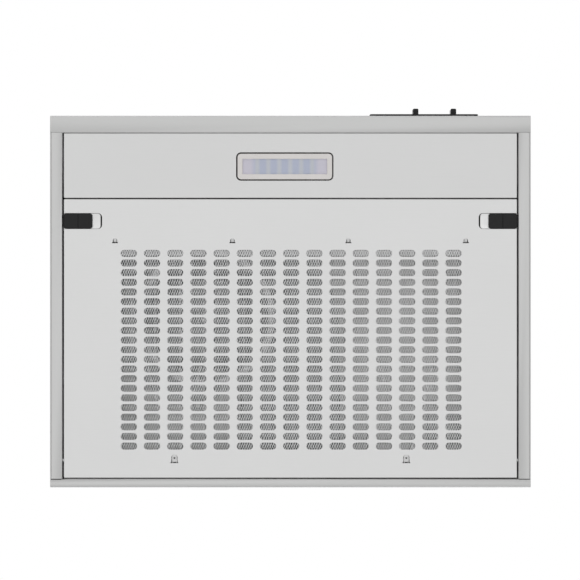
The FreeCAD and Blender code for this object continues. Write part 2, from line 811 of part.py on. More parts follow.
def slide_knob(knob_x):
    """Finger knob outside the plate, stem through the plate into the switch."""
    half = knob_width / 2
    face_y = front_y - plate_thickness - slip
    tip_y = front_y - knob_proud
    outline = rounded_corners([(-half, tip_y), (half, tip_y), (half, face_y), (-half, face_y)],
                              [knob_corner, knob_corner, 0, 0], corner_flats)
    grip = prism(outline, lambda x, y: vec(knob_x + x, y, plate_z - knob_height / 2), vec(0, 0, knob_height))
    stem_end_y = front_y + switch_depth / 2 - stem_end_gap
    stem = box(knob_x - stem_width / 2, knob_x + stem_width / 2, face_y, stem_end_y,
               plate_z - stem_height / 2, plate_z + stem_height / 2)
    return joined([grip, stem])


# ---------------------------------------------------------------- blower
def scroll_plan(offset):
    """Plan of the scroll, moved inwards by offset: spiral from the tongue round to the outlet's box."""
    start_radius = scroll_start - offset
    start_angle = math.degrees(math.acos((tongue_x + offset - wheel_x) / start_radius))
    points = []
    for i in range(scroll_points + 1):
        share = i / scroll_points
        angle = math.radians(start_angle + (360.0 - start_angle) * share)
        radius = start_radius + (scroll_end - scroll_start) * share
        points.append((wheel_x + radius * math.cos(angle), wheel_y + radius * math.sin(angle)))
    points.append((outlet_x - offset, outlet_rear_y - offset))
    points.append((tongue_x + offset, outlet_rear_y - offset))
    return points


def scroll_radius(angle):
    """Outside radius of the spiral at an angle in degrees."""
    share = (angle - tongue_angle) / (360.0 - tongue_angle)
    return scroll_start + (scroll_end - scroll_start) * share


def screw_ears(z0, z1):
    """Screw ears that stand out round the scroll's edge, and the places of their screws."""
    ears = []
    places = []
    for angle in ear_angles:
        turn = math.radians(angle)
        radius = scroll_radius(angle) + ear_size / 2
        x = wheel_x + radius * math.cos(turn)
        y = wheel_y + radius * math.sin(turn)
        half = ear_size / 2
        ear = box(-ear_size, half, -half, half, z0, z1)
        ear.rotate(vec(0, 0, 0), Z_AXIS, angle)
        ear.translate(vec(x, y, 0))
        ears.append(ear)
        places.append((x, y))
    return ears, places


def scroll_housing():
    """Top plate and side wall in one piece, open below for the cover and above under the collar."""
    outside = flat_prism(scroll_plan(0.0), scroll_bottom_z, scroll_top_z)
    ears, _ = screw_ears(scroll_bottom_z, scroll_bottom_z + scroll_sheet)
    inside = flat_prism(scroll_plan(scroll_sheet), scroll_bottom_z - through, scroll_top_z - scroll_sheet)
    half = collar_flange / 2 + slip
    seat = box(-half, half, duct_y - half, duct_y + half, scroll_top_z - scroll_sheet, scroll_top_z + through)
    holes = screw_holes(scroll_bottom_z, scroll_bottom_z + scroll_sheet)
    return joined([outside] + ears).cut([inside, seat] + holes)


def scroll_cover():
    """Flat cover with a conical inlet that reaches up into the wheel."""
    plate = flat_prism(scroll_plan(0.0), guard_z, scroll_bottom_z)
    outer = inlet_radius + inlet_flare
    cone = Part.makeLoft([
        polygon_wire(outer, guard_z),
        polygon_wire(inlet_radius + scroll_sheet, scroll_bottom_z + inlet_rise),
    ], True, True)
    bore = Part.makeLoft([
        polygon_wire(outer - scroll_sheet, guard_z - cone_margin),
        polygon_wire(inlet_radius, scroll_bottom_z + inlet_rise + cone_margin),
    ], True, True)
    ears, _ = screw_ears(guard_z, scroll_bottom_z)
    return joined([plate, cone] + ears).cut([bore] + screw_holes(guard_z, scroll_bottom_z))


def cover_screws():
    """One screw through each ear, head below the cover."""
    _, places = screw_ears(guard_z, scroll_bottom_z)
    screws = []
    for x, y in places:
        head = flat_prism(ngon(screw_head_radius, small_sides, x, y), guard_z - screw_head_height, guard_z)
        shank = flat_prism(ngon(screw_radius, small_sides, x, y), guard_z, guard_z + screw_length)
        screws.append(joined([head, shank]))
    return Part.makeCompound(screws)


def screw_holes(z0, z1):
    """Holes in the ears that the screws' shanks fill."""
    _, places = screw_ears(z0, z1)
    return [flat_prism(ngon(screw_radius, small_sides, x, y), z0 - through, z1 + through) for x, y in places]


def polygon_wire(radius, z):
    ring = [vec(x, y, z) for x, y in ngon(radius, turned_sides, wheel_x, wheel_y)]
    return Part.makePolygon(ring + ring[:1])


def inlet_guard():
    """Ring with straight bars across the inlet."""
    outer = inlet_radius + inlet_flare + guard_ring_width
    inner = inlet_radius + inlet_flare
    z0 = guard_z - guard_thickness
    pieces = [drum(outer, z0, guard_z).cut(drum(inner, z0 - through, guard_z + through))]
    pitch = 2 * inner / (guard_bars + 1)
    for i in range(guard_bars):
        x = wheel_x - inner + (i + 1) * pitch
        half = math.sqrt(inner ** 2 - (x - wheel_x) ** 2) + guard_ring_width / 4
        pieces.append(box(x - guard_bar / 2, x + guard_bar / 2, wheel_y - half, wheel_y + half, z0, guard_z))
    return joined(pieces)


def blade(index):
    """Forward-curved blade: a bowed strip of even thickness."""
    tip_angle = 360.0 * index / blade_count
    inner = wheel_radius - blade_length
    line = []
    for share in (0.0, 0.5, 1.0):
        radius = inner + blade_length * share
        angle = tip_angle - blade_sweep * (1 - share) - blade_bow * 4 * share * (1 - share)
        turn = math.radians(angle)
        line.append((wheel_x + radius * math.cos(turn), wheel_y + radius * math.sin(turn)))
    outline = line + offset_left(line, blade_thickness)[::-1]
    return flat_prism(outline, wheel_bottom_z, wheel_bottom_z + blade_height)


def shaft_hole(z0, z1):
    """Faceted hole that the shaft just fills."""
    outline = ngon(round_clear(shaft_radius, small_sides), small_sides, wheel_x, wheel_y)
    return flat_prism(outline, z0 - through, z1 + through)


def wheel_blades():
    return Part.makeCompound([blade(i) for i in range(blade_count)])


def wheel_back():
    """The wheel's back plate, dished round the motor, with its hub."""
    back_z = wheel_top_z - wheel_sheet
    plate = drum(wheel_radius, back_z, wheel_top_z)
    dish_outside = drum(dish_radius + wheel_sheet, dish_z - wheel_sheet, wheel_top_z)
    dish_inside = drum(dish_radius, dish_z, wheel_top_z + through)
    hub = flat_prism(ngon(hub_radius, small_sides, wheel_x, wheel_y), dish_z - hub_height, dish_z)
    return joined([plate, dish_outside, hub]).cut([dish_inside, shaft_hole(dish_z - hub_height, dish_z)])


def wheel_ring():
    """Ring round the blades' lower ends: the middle of each of its flats bears on the blades' circle."""
    top_z = wheel_bottom_z + wheel_ring_height
    inner = round_clear(wheel_radius, turned_sides)
    half_flat = 180 / turned_sides
    bore = drum(inner, wheel_bottom_z - through, top_z + through, half_flat)
    return drum(inner + wheel_sheet, wheel_bottom_z, top_z, half_flat).cut(bore)


def motor():
    """Motor can with its bearing cap; the shaft turns in the cap's bore."""
    can = drum(motor_radius, motor_bottom_z, motor_top_z)
    cap = drum(motor_cap_radius, motor_bottom_z - motor_cap_height, motor_bottom_z)
    bore_radius = round_clear(shaft_radius + shaft_clearance, turned_sides // 2)
    bore = flat_prism(ngon(bore_radius, turned_sides // 2, wheel_x, wheel_y),
                      motor_bottom_z - motor_cap_height - through, motor_bottom_z + shaft_buried + through)
    return joined([can, cap]).cut(bore)


def motor_shaft():
    return rod(shaft_radius, vec(wheel_x, wheel_y, dish_z - hub_height - nut_height),
               vec(wheel_x, wheel_y, motor_bottom_z + shaft_buried))


def wheel_nut():
    z1 = dish_z - hub_height
    across = nut_across / math.sqrt(3)
    nut = flat_prism(ngon(across, 6, wheel_x, wheel_y), z1 - nut_height, z1)
    return nut.cut(shaft_hole(z1 - nut_height, z1))


def motor_grommets():
    """Three rubber blocks between the motor and the housing's top plate."""
    blocks = []
    for i in range(grommet_count):
        angle = math.radians(90 + 360 * i / grommet_count)
        x = wheel_x + grommet_circle * math.cos(angle)
        y = wheel_y + grommet_circle * math.sin(angle)
        outline = ngon(grommet_radius, small_sides, x, y)
        blocks.append(flat_prism(outline, motor_top_z, scroll_top_z - scroll_sheet))
    return Part.makeCompound(blocks)


# ---------------------------------------------------------------- duct collar and damper
def flap_pin_ends(side):
    """Ends of the pin line of the front (-1) or rear (+1) flap, across the collar."""
    y = side * flap_spacing / 2
    reach = math.sqrt((duct_radius - flap_pin_inset) ** 2 - y ** 2)
    return vec(-reach, duct_y + y, flap_height), vec(reach, duct_y + y, flap_height)


def duct_collar():
    """Spigot through the top sheet, square flange clamped under it, stops below the flaps' edges."""
    flange = rounded_block(0, duct_y, collar_flange, collar_flange, collar_corner,
                           scroll_top_z - scroll_sheet, scroll_top_z)
    tube = rod(duct_radius, vec(0, duct_y, scroll_top_z), vec(0, duct_y, duct_rise))
    bore_radius = duct_radius - duct_wall
    bore = flat_prism(ngon(bore_radius, turned_sides, 0, duct_y),
                      scroll_top_z - scroll_sheet - through, duct_rise + through)
    stop_top = flap_height - flap_thickness / 2 - slip
    stops = []
    for side in (-1, 1):
        inner_y = duct_y + side * (bore_radius - stop_depth)
        ends = sorted((inner_y, duct_y + side * (bore_radius + duct_wall / 2)))
        stops.append(box(-stop_width / 2, stop_width / 2, *ends, stop_top - stop_height, stop_top))
    hole_radius = round_clear(flap_pin_radius, small_sides)
    holes = [faceted_rod(hole_radius, small_sides, *flap_pin_ends(side)) for side in (-1, 1)]
    return joined([flange, tube]).cut(bore).multiFuse(stops).cut(holes)


def damper_pins():
    return Part.makeCompound([rod(flap_pin_radius, *flap_pin_ends(side)) for side in (-1, 1)])


def damper_flap(side):
    """Half-round flap with the knuckle that turns on its pin."""
    radius = duct_radius - duct_wall - flap_gap
    y = side * flap_spacing / 2
    z0 = flap_height - flap_thickness / 2
    disc = flat_prism(ngon(radius, turned_sides, 0, duct_y), z0, z0 + flap_thickness)
    beyond = radius + through
    ends = sorted((duct_y + y, duct_y + side * beyond))
    half = disc.common(box(-beyond, beyond, *ends, z0, z0 + flap_thickness))
    reach = math.sqrt(radius ** 2 - y ** 2) - flap_knuckle
    knuckle = faceted_rod(flap_knuckle, small_sides, vec(-reach, duct_y + y, flap_height),
                          vec(reach, duct_y + y, flap_height))
    bore = faceted_rod(round_clear(flap_pin_radius + shaft_clearance, small_sides), small_sides,
                       vec(-beyond, duct_y + y, flap_height), vec(beyond, duct_y + y, flap_height))
    return joined([half, knuckle]).cut(bore)


# ---------------------------------------------------------------- electrical parts
def box_frame():
    """Corners of the junction box: it hangs under the top against the back."""
    length, depth, height = box_size
    y1 = back_y - sheet - bend
    return box_x - length / 2, box_x + length / 2, y1 - depth, y1, under_top_z - height, under_top_z


def junction_box():
    """Steel box, open at the back, where the body closes it, and below, where its cover does."""
    x0, x1, y0, y1, z0, z1 = box_frame()
    inside = box(x0 + box_sheet, x1 - box_sheet, y0 + box_sheet, y1 + through, z0 - through, z1 - box_sheet)
    return box(x0, x1, y0, y1, z0, z1).cut(inside)


def junction_cover():
    """Cover that slips inside the box's mouth, with a flange turned up along each side."""
    x0, x1, y0, y1, z0, _ = box_frame()
    plate = box(x0, x1, y0, y1, z0 - box_sheet, z0)
    sides = []
    for x in (x0 + box_sheet + slip, x1 - 2 * box_sheet - slip):
        sides.append(box(x, x + box_sheet, y0 + 2 * box_sheet, y1, z0, z0 + weld_flange))
    return joined([plate] + sides)


def terminal_block():
    """Terminal block under the junction box's top, with an opening right through for each wire."""
    length, depth, height = terminal_size
    _, _, y0, y1, _, z1 = box_frame()
    middle = (y0 + y1) / 2
    top = z1 - box_sheet
    block = box(box_x - length / 2, box_x + length / 2, middle - depth / 2, middle + depth / 2,
                top - height, top)
    z = top - height / 2
    half = terminal_way / 2
    ways = []
    for i in range(terminal_ways):
        x = box_x + (i - (terminal_ways - 1) / 2) * length / terminal_ways
        ways.append(box(x - half, x + half, middle - depth, middle + depth, z - half, z + half))
    return block.cut(ways)


def bush_prism(radius, y0, y1):
    """Faceted prism along Y at the cable inlet."""
    ring = [vec(box_x + x, y0, z - bush_from_top) for x, z in ngon(radius, turned_sides // 2, 0, 0)]
    return Part.Face(Part.makePolygon(ring + ring[:1])).extrude(vec(0, y1 - y0, 0))


def cable_bush():
    """Snap-in bush that the supply cable enters through."""
    neck = bush_prism(bush_radius, back_y - sheet, back_y)
    outer = bush_prism(bush_radius + bush_flange, back_y, back_y + bush_flange)
    inner = bush_prism(bush_radius + bush_flange / 2, back_y - sheet - bush_flange, back_y - sheet)
    bore = bush_prism(bush_bore, back_y - sheet - bush_flange - through, back_y + bush_flange + through)
    return joined([neck, outer, inner]).cut(bore)


def capacitor():
    """Motor capacitor under the top, with its two push-on terminals."""
    length, width, height = capacitor_size
    bottom_z = under_top_z - height
    body = rounded_block(capacitor_x, capacitor_y, length, width, capacitor_corner, bottom_z, under_top_z)
    thick, wide, long = tab_size
    tabs = []
    for side in (-1, 1):
        x = capacitor_x + side * length / 4
        tabs.append(box(x - wide / 2, x + wide / 2, capacitor_y - thick / 2, capacitor_y + thick / 2,
                        bottom_z - long, bottom_z))
    return joined([body] + tabs)


PIECES = {
    "body_wrap": body_wrap,
    "side_panel_left": side_panel,
    "side_panel_right": lambda: mirrored(side_panel()),
    "light_panel": light_panel,
    "led_frame": led_frame,
    "led_lens": led_lens,
    "led_board": led_board,
    "led_driver": led_driver,
    "filter_panel": filter_panel,
    "mesh_lower": lambda: mesh_layer(mesh_z),
    "mesh_upper": lambda: mesh_layer(mesh_z + mesh_thickness),
    "mesh_retainer_left": lambda: mesh_retainer(-lug_rear_x, -lug_outer_x, -lug_inner_x),
    "mesh_retainer_right": lambda: mesh_retainer(lug_rear_x, lug_inner_x, lug_outer_x),
    "hinge_pins": lambda: Part.makeCompound([hinge_pin(-1), hinge_pin(1)]),
    "latch_guide_left": latch_guide,
    "latch_guide_right": lambda: mirrored(latch_guide()),
    "latch_slider_left": latch_slider,
    "latch_slider_right": lambda: mirrored(latch_slider()),
    "latch_springs_left": latch_springs,
    "latch_springs_right": lambda: mirrored(latch_springs()),
    "control_plate": control_plate,
    "fan_switch": lambda: slide_switch(fan_knob_x, fan_travel),
    "light_switch": lambda: slide_switch(light_knob_x, light_travel),
    "fan_knob": lambda: slide_knob(fan_knob_x),
    "light_knob": lambda: slide_knob(light_knob_x),
    "scroll_housing": scroll_housing,
    "scroll_cover": scroll_cover,
    "cover_screws": cover_screws,
    "inlet_guard": inlet_guard,
    "wheel_back": wheel_back,
    "wheel_blades": wheel_blades,
    "wheel_ring": wheel_ring,
    "motor_shaft": motor_shaft,
    "wheel_nut": wheel_nut,
    "motor": motor,
    "motor_grommets": motor_grommets,
    "capacitor": capacitor,
    "duct_collar": duct_collar,
    "damper_pins": damper_pins,
    "damper_flap_front": lambda: damper_flap(-1),
    "damper_flap_rear": lambda: damper_flap(1),
    "junction_box": junction_box,
    "junction_cover": junction_cover,
    "terminal_block": terminal_block,
    "cable_bush": cable_bush,
}

os.makedirs("parts", exist_ok=True)
for name, make in PIECES.items():
    piece = make()
    piece.exportStep("parts/" + name + ".step")
    print(name, len(piece.Solids), "solids", round(piece.Volume / 1000, 2), "cm3", piece.isValid())
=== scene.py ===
# %% [markdown]
# # An under-cabinet range hood, seen from straight below
# The folded steel body, the hinged filter and the blower come from a packed construction model, in
# metres. This lesson dresses that model: it gives every piece its finish, and builds again in mesh
# code the pieces whose small shapes show, such as the punched filter face and the mesh behind it.

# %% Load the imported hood
import json
import math

import bmesh
import bpy
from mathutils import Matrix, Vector


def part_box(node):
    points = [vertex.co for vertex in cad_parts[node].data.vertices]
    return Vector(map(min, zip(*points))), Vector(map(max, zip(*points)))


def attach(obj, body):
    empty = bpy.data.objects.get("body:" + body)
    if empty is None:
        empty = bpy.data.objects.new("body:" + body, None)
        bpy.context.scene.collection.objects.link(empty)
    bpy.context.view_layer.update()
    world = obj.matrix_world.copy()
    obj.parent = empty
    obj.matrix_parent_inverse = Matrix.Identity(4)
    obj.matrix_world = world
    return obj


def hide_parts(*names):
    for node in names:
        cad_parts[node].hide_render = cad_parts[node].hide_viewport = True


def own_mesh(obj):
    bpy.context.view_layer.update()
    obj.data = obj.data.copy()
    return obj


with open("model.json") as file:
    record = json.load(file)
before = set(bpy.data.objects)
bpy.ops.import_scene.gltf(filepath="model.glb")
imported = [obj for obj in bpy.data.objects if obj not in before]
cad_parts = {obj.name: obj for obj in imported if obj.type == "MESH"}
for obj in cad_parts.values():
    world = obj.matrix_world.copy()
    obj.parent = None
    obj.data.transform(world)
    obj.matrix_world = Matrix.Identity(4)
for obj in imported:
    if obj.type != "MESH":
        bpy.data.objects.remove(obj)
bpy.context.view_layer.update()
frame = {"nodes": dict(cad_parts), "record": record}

MM = 0.001
nodes = frame["nodes"]

# %% [markdown]
# ## Camera
# The photograph looks straight up, with the hood's front at the top of the picture. A long lens far
# away keeps the inner walls out of sight, as they are there. The distance and the width that the
# picture takes in at the rim give the lens.

# %% Camera straight below the rim
wrap_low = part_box("body_wrap")[0]
rim_z = wrap_low.z
camera_distance = 2.1
picture_width = 0.7238          # what the picture takes in at the rim's height
picture_middle = (-0.0005, -0.0144)     # the point that the camera stands straight below
camera_data = bpy.data.cameras.new("camera")
camera_data.sensor_width = 36.0
camera_data.lens = camera_data.sensor_width * camera_distance / picture_width
camera_data.clip_end = 50.0
camera = bpy.data.objects.new("camera", camera_data)
bpy.context.scene.collection.objects.link(camera)
camera.location = (*picture_middle, rim_z - camera_distance)
camera.rotation_euler = (math.pi, 0.0, 0.0)
bpy.context.scene.camera = camera
print("lens", round(camera_data.lens, 1), "mm")

# %% [markdown]
# ## Finishes
# Each finish is a small network of nodes on Blender's principled shader. A helper starts one, and
# others add noise that is stretched along the grain, a range for the roughness, and a fine relief.
# They read the object's own coordinates, in metres, so a scale of 1000 makes detail of a millimetre.

# %% Helpers for the finishes
def start_finish(name, colour, roughness, metal=0.0):
    material = bpy.data.materials.new(name)
    material.use_nodes = True
    tree = material.node_tree
    shader = tree.nodes["Principled BSDF"]
    shader.inputs["Base Color"].default_value = (*colour, 1.0)
    shader.inputs["Roughness"].default_value = roughness
    shader.inputs["Metallic"].default_value = metal
    return material, tree, shader


def feed(tree, value, socket):
    """Link an output to the socket, or set the socket to a plain value."""
    if isinstance(value, bpy.types.NodeSocket):
        tree.links.new(value, socket)
    else:
        socket.default_value = value


def reckon(tree, operation, *values):
    """One step of arithmetic on outputs and numbers."""
    node = tree.nodes.new("ShaderNodeMath")
    node.operation = operation
    for value, socket in zip(values, node.inputs):
        feed(tree, value, socket)
    return node.outputs["Value"]


def mixed(tree, share, first, second):
    """A colour from first to second as the share goes from 0 to 1."""
    mix = tree.nodes.new("ShaderNodeMix")
    mix.data_type = "RGBA"
    feed(tree, share, mix.inputs["Factor"])
    feed(tree, first, mix.inputs["A"])
    feed(tree, second, mix.inputs["B"])
    return mix.outputs["Result"]


def noise(tree, scale, stretch=(1.0, 1.0, 1.0), detail=2.0):
    """Noise in the object's coordinates; scale is in features per metre along an unstretched axis."""
    place = tree.nodes.new("ShaderNodeTexCoord")
    mapping = tree.nodes.new("ShaderNodeMapping")
    mapping.inputs["Scale"].default_value = [scale * s for s in stretch]
    texture = tree.nodes.new("ShaderNodeTexNoise")
    texture.inputs["Scale"].default_value = 1.0
    texture.inputs["Detail"].default_value = detail
    tree.links.new(place.outputs["Object"], mapping.inputs["Vector"])
    tree.links.new(mapping.outputs["Vector"], texture.inputs["Vector"])
    return texture.outputs["Fac"]


def in_range(tree, value, low, high, start=0.3, end=0.7):
    """The value's middle part spread over low to high."""
    spread = tree.nodes.new("ShaderNodeMapRange")
    spread.inputs["From Min"].default_value = start
    spread.inputs["From Max"].default_value = end
    spread.inputs["To Min"].default_value = low
    spread.inputs["To Max"].default_value = high
    tree.links.new(value, spread.inputs["Value"])
    return spread.outputs["Result"]


def between(tree, value, first, second):
    """A colour that goes from first to second as the value goes from 0.3 to 0.7."""
    ramp = tree.nodes.new("ShaderNodeValToRGB")
    ramp.color_ramp.elements[0].position = 0.3
    ramp.color_ramp.elements[0].color = (*first, 1.0)
    ramp.color_ramp.elements[1].position = 0.7
    ramp.color_ramp.elements[1].color = (*second, 1.0)
    tree.links.new(value, ramp.inputs["Fac"])
    return ramp.outputs["Color"]


def relief(tree, shader, height, distance):
    bump = tree.nodes.new("ShaderNodeBump")
    bump.inputs["Strength"].default_value = 1.0
    bump.inputs["Distance"].default_value = distance
    tree.links.new(height, bump.inputs["Height"])
    tree.links.new(bump.outputs["Normal"], shader.inputs["Normal"])


def shade(colour, factor):
    return tuple(channel * factor for channel in colour)


# %% [markdown]
# ### Satin steel
# The hood's sheet has a satin silver finish: fine scratches along its width, under a slow cloudiness
# that comes from rolling and polishing. Scratches are noise stretched along X and very fine across
# it. They change the colour a little, the roughness more, and give a relief of a few thousandths of
# a millimetre.

# %% Satin steel
def satin_steel(name, colour, roughness):
    material, tree, shader = start_finish(name, colour, roughness, metal=1.0)
    scratches = noise(tree, 1.0, (30.0, 2600.0, 2600.0), detail=4.0)
    clouds = noise(tree, 9.0, detail=3.0)
    grain = between(tree, scratches, shade(colour, 0.965), shade(colour, 1.03))
    bloom = between(tree, clouds, shade(colour, 0.985), shade(colour, 1.012))
    tree.links.new(mixed(tree, 0.5, grain, bloom), shader.inputs["Base Color"])
    tree.links.new(in_range(tree, scratches, roughness - 0.06, roughness + 0.07), shader.inputs["Roughness"])
    relief(tree, shader, scratches, 0.004 * MM)
    return material


# %% [markdown]
# ### Galvanised sheet, with painted shade
# The blower's housing and the junction box are galvanised. Zinc freezes in flat crystals, the
# spangle, a centimetre or so across and each a little lighter or darker. Cells of a Voronoi texture
# have just that shape, and each cell's random colour gives its tone and roughness. The colour that
# the sheet is given is darker than zinc, as painted shade: it keeps the inside of the hood dark
# where the slots and the mesh show it.

# %% Galvanised sheet, darkened as painted shade
def galvanised_sheet(name, colour):
    material, tree, shader = start_finish(name, colour, 0.42, metal=1.0)
    place = tree.nodes.new("ShaderNodeTexCoord")
    cells = tree.nodes.new("ShaderNodeTexVoronoi")
    cells.inputs["Scale"].default_value = 110.0
    tree.links.new(place.outputs["Object"], cells.inputs["Vector"])
    split = tree.nodes.new("ShaderNodeSeparateColor")
    tree.links.new(cells.outputs["Color"], split.inputs["Color"])
    tree.links.new(between(tree, split.outputs["Red"], shade(colour, 0.84), shade(colour, 1.08)),
                   shader.inputs["Base Color"])
    tree.links.new(in_range(tree, split.outputs["Green"], 0.34, 0.52), shader.inputs["Roughness"])
    relief(tree, shader, noise(tree, 700.0), 0.01 * MM)
    return material


# %% [markdown]
# ### Moulded plastic, rubber, wire and paint
# Moulded parts carry the fine grain of their tool. A noise of a few tenths of a millimetre gives the
# grain's relief and a slow one the flow marks in the colour. Wire, paint and rubber are the same
# recipe with other colours, roughness and depth of grain.

# %% Moulded and drawn finishes
def grained(name, colour, roughness, grain_size, grain_depth, metal=0.0, spread=0.12, gloss=0.5):
    material, tree, shader = start_finish(name, colour, roughness, metal)
    shader.inputs["Specular IOR Level"].default_value = gloss
    grain = noise(tree, 1.0 / grain_size, detail=3.0)
    flow = noise(tree, 45.0)
    tree.links.new(between(tree, flow, shade(colour, 1.0 - spread), shade(colour, 1.0 + spread)),
                   shader.inputs["Base Color"])
    tree.links.new(in_range(tree, grain, roughness - 0.06, roughness + 0.08), shader.inputs["Roughness"])
    relief(tree, shader, grain, grain_depth)
    return material


# %% Every finish of the hood
FINISHES = {
    "body_steel": satin_steel("satin_steel_body", (0.625, 0.625, 0.623), 0.36),
    "panel_steel": satin_steel("satin_steel_panels", (0.745, 0.745, 0.745), 0.36),
    "lamp_frame": grained("warm_white_moulding", (0.775, 0.745, 0.73), 0.32, 0.5 * MM, 0.004 * MM,
                          spread=0.015),
    "lamp_window": grained("window_moulding", (0.62, 0.63, 0.70), 0.30, 0.3 * MM, 0.003 * MM, spread=0.03),
    "circuit_board": grained("white_solder_mask", (0.82, 0.84, 0.83), 0.38, 0.6 * MM, 0.004 * MM,
                             spread=0.02),
    "white_plastic": grained("white_moulding", (0.74, 0.74, 0.72), 0.45, 0.4 * MM, 0.008 * MM, spread=0.03),
    "switch_plastic": grained("dark_grey_moulding", (0.09, 0.09, 0.095), 0.5, 0.4 * MM, 0.01 * MM),
    "mesh_aluminium": grained("aluminium_mesh", (0.86, 0.86, 0.865), 0.36, 0.7 * MM, 0.006 * MM,
                              metal=1.0, spread=0.06),
    "spring_wire": grained("bright_spring_wire", (0.66, 0.66, 0.665), 0.26, 0.5 * MM, 0.003 * MM,
                           metal=1.0, spread=0.05),
    # painted shade: the galvanised parts get a dark colour, so the hood's inside looks as dark as its shade
    "galvanised": galvanised_sheet("galvanised_sheet", (0.36, 0.37, 0.375)),
    "black_plastic": grained("black_moulding", (0.010, 0.010, 0.0105), 0.42, 0.35 * MM, 0.012 * MM,
                             gloss=0.28),
    "screw_steel": grained("zinc_plated_steel", (0.74, 0.74, 0.735), 0.34, 0.5 * MM, 0.004 * MM,
                           metal=1.0, spread=0.03),
    "motor_paint": grained("motor_paint", (0.055, 0.056, 0.06), 0.42, 0.5 * MM, 0.01 * MM),
    "rubber": grained("soft_rubber", (0.028, 0.028, 0.028), 0.68, 0.3 * MM, 0.015 * MM, gloss=0.3),
    "collar_plastic": grained("dark_collar_moulding", (0.045, 0.046, 0.048), 0.50, 0.5 * MM, 0.015 * MM),
}
for row in frame["record"]["subparts"]:
    mesh = nodes[row["node"]].data
    mesh.materials.clear()
    mesh.materials.append(FINISHES[row["material_slot"]])
print("finishes:", len(FINISHES))

# %% [markdown]
# ## Helpers for new pieces
# A new piece is a mesh from lists of points and faces. Most come from a loft: rings of points, each
# ring joined to the next by four-sided faces, with a flat face on each end. A ring can be a rounded
# rectangle, an obround or a circle. The piece rides on a body of the model, takes its finish from a
# slot, and hides the plain node that it stands for.

# %% Mesh helpers
def mesh_from(name, points, faces):
    mesh = bpy.data.meshes.new(name)
    mesh.from_pydata([tuple(p) for p in points], [], faces)
    work = bmesh.new()
    work.from_mesh(mesh)
    bmesh.ops.recalc_face_normals(work, faces=work.faces)
    work.to_mesh(mesh)
    work.free()
    return mesh


def new_piece(name, points, faces, body, slot_name, replaced=(), smooth=35.0, finish=None, cuts=()):
    """A dressed piece. Each of the cuts is a list of cutters that don't overlap one another."""
    piece = bpy.data.objects.new(name, mesh_from(name, points, faces))
    bpy.context.scene.collection.objects.link(piece)
    for cutters in cuts:
        cut_away(piece, cutters)
    return dress(piece, body, slot_name, replaced, smooth, finish)


def dress(piece, body, slot_name, replaced=(), smooth=35.0, finish=None):
    mesh = piece.data
    mesh.materials.clear()
    mesh.materials.append(finish or FINISHES[slot_name])
    mesh.polygons.foreach_set("use_smooth", [True] * len(mesh.polygons))
    mesh.set_sharp_from_angle(angle=math.radians(smooth))
    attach(piece, body)
    if replaced:
        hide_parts(*replaced)
    return piece


def apply_modifiers(piece):
    """Keep what the modifiers make as the piece's own mesh."""
    graph = bpy.context.evaluated_depsgraph_get()
    graph.update()
    shaped = bpy.data.meshes.new_from_object(piece.evaluated_get(graph))
    piece.modifiers.clear()
    piece.data = shaped
    return piece


def even_shading(piece):
    """Large flats keep a flat shade and the narrow folds beside them take up the whole turn."""
    weighted = piece.modifiers.new("shading", "WEIGHTED_NORMAL")
    weighted.keep_sharp = True
    return apply_modifiers(piece)


def loft(rings, closed=False):
    """Points and faces of a skin over rings. The last joins the first if closed, or else both are capped."""
    count = len(rings[0])
    points = [p for ring in rings for p in ring]
    faces = []
    for level in range(len(rings) if closed else len(rings) - 1):
        a = level * count
        b = (level + 1) % len(rings) * count
        for i in range(count):
            j = (i + 1) % count
            faces.append((a + i, a + j, b + j, b + i))
    if not closed:
        faces.append(tuple(range(count)))
        faces.append(tuple(range(len(points) - 1, len(points) - count - 1, -1)))
    return points, faces


def join_parts(parts):
    """Several (points, faces) as one."""
    points = []
    faces = []
    for part_points, part_faces in parts:
        start = len(points)
        points += part_points
        faces += [tuple(start + i for i in face) for face in part_faces]
    return points, faces


def rounded_rectangle(x0, x1, y0, y1, radius, steps=6):
    """Plan points anticlockwise."""
    points = []
    corners = ((x1, y1, 0.0), (x0, y1, 90.0), (x0, y0, 180.0), (x1, y0, 270.0))
    for x, y, start in corners:
        centre_x = x - radius if x == x1 else x + radius
        centre_y = y - radius if y == y1 else y + radius
        for i in range(steps + 1):
            angle = math.radians(start + 90.0 * i / steps)
            points.append((centre_x + radius * math.cos(angle), centre_y + radius * math.sin(angle)))
    return points


def circle(x, y, radius, sides):
    angles = [2 * math.pi * i / sides for i in range(sides)]
    return [(x + radius * math.cos(angle), y + radius * math.sin(angle)) for angle in angles]


def at_height(plan, z):
    return [(x, y, z) for x, y in plan]


def cut_away(piece, cutters):
    """The piece less the cutters, which are (points, faces) that don't overlap."""
    tool = bpy.data.objects.new("cutters", mesh_from("cutters", *join_parts(cutters)))
    bpy.context.scene.collection.objects.link(tool)
    boolean = piece.modifiers.new("cut", "BOOLEAN")
    boolean.operation = "DIFFERENCE"
    boolean.solver = "EXACT"
    boolean.object = tool
    apply_modifiers(piece)
    bpy.data.objects.remove(tool)
    return piece


def tube_along(path, radius, sides=10):
    """Round bar along a path of points, its ends slightly domed."""
    path = [Vector(p) for p in path]
    rings = []
    side = None
    for i, point in enumerate(path):
        along = (path[min(i + 1, len(path) - 1)] - path[max(i - 1, 0)]).normalized()
        side = (side - along * side.dot(along)).normalized() if side else along.orthogonal().normalized()
        other = along.cross(side)
        turns = [2 * math.pi * k / sides for k in range(sides)]
        ring = [side * math.cos(turn) + other * math.sin(turn) for turn in turns]
        if i == 0:
            rings.append([point - along * radius * 0.3 + ray * radius * 0.6 for ray in ring])
        rings.append([point + ray * radius for ray in ring])
        if i == len(path) - 1:
            rings.append([point + along * radius * 0.3 + ray * radius * 0.6 for ray in ring])
    return loft(rings)


def turned(section, x, y, sides):
    """Solid of revolution about an upright axis. The section is a closed outline of (radius, z)."""
    return loft([at_height(circle(x, y, radius, sides), z) for radius, z in section], closed=True)


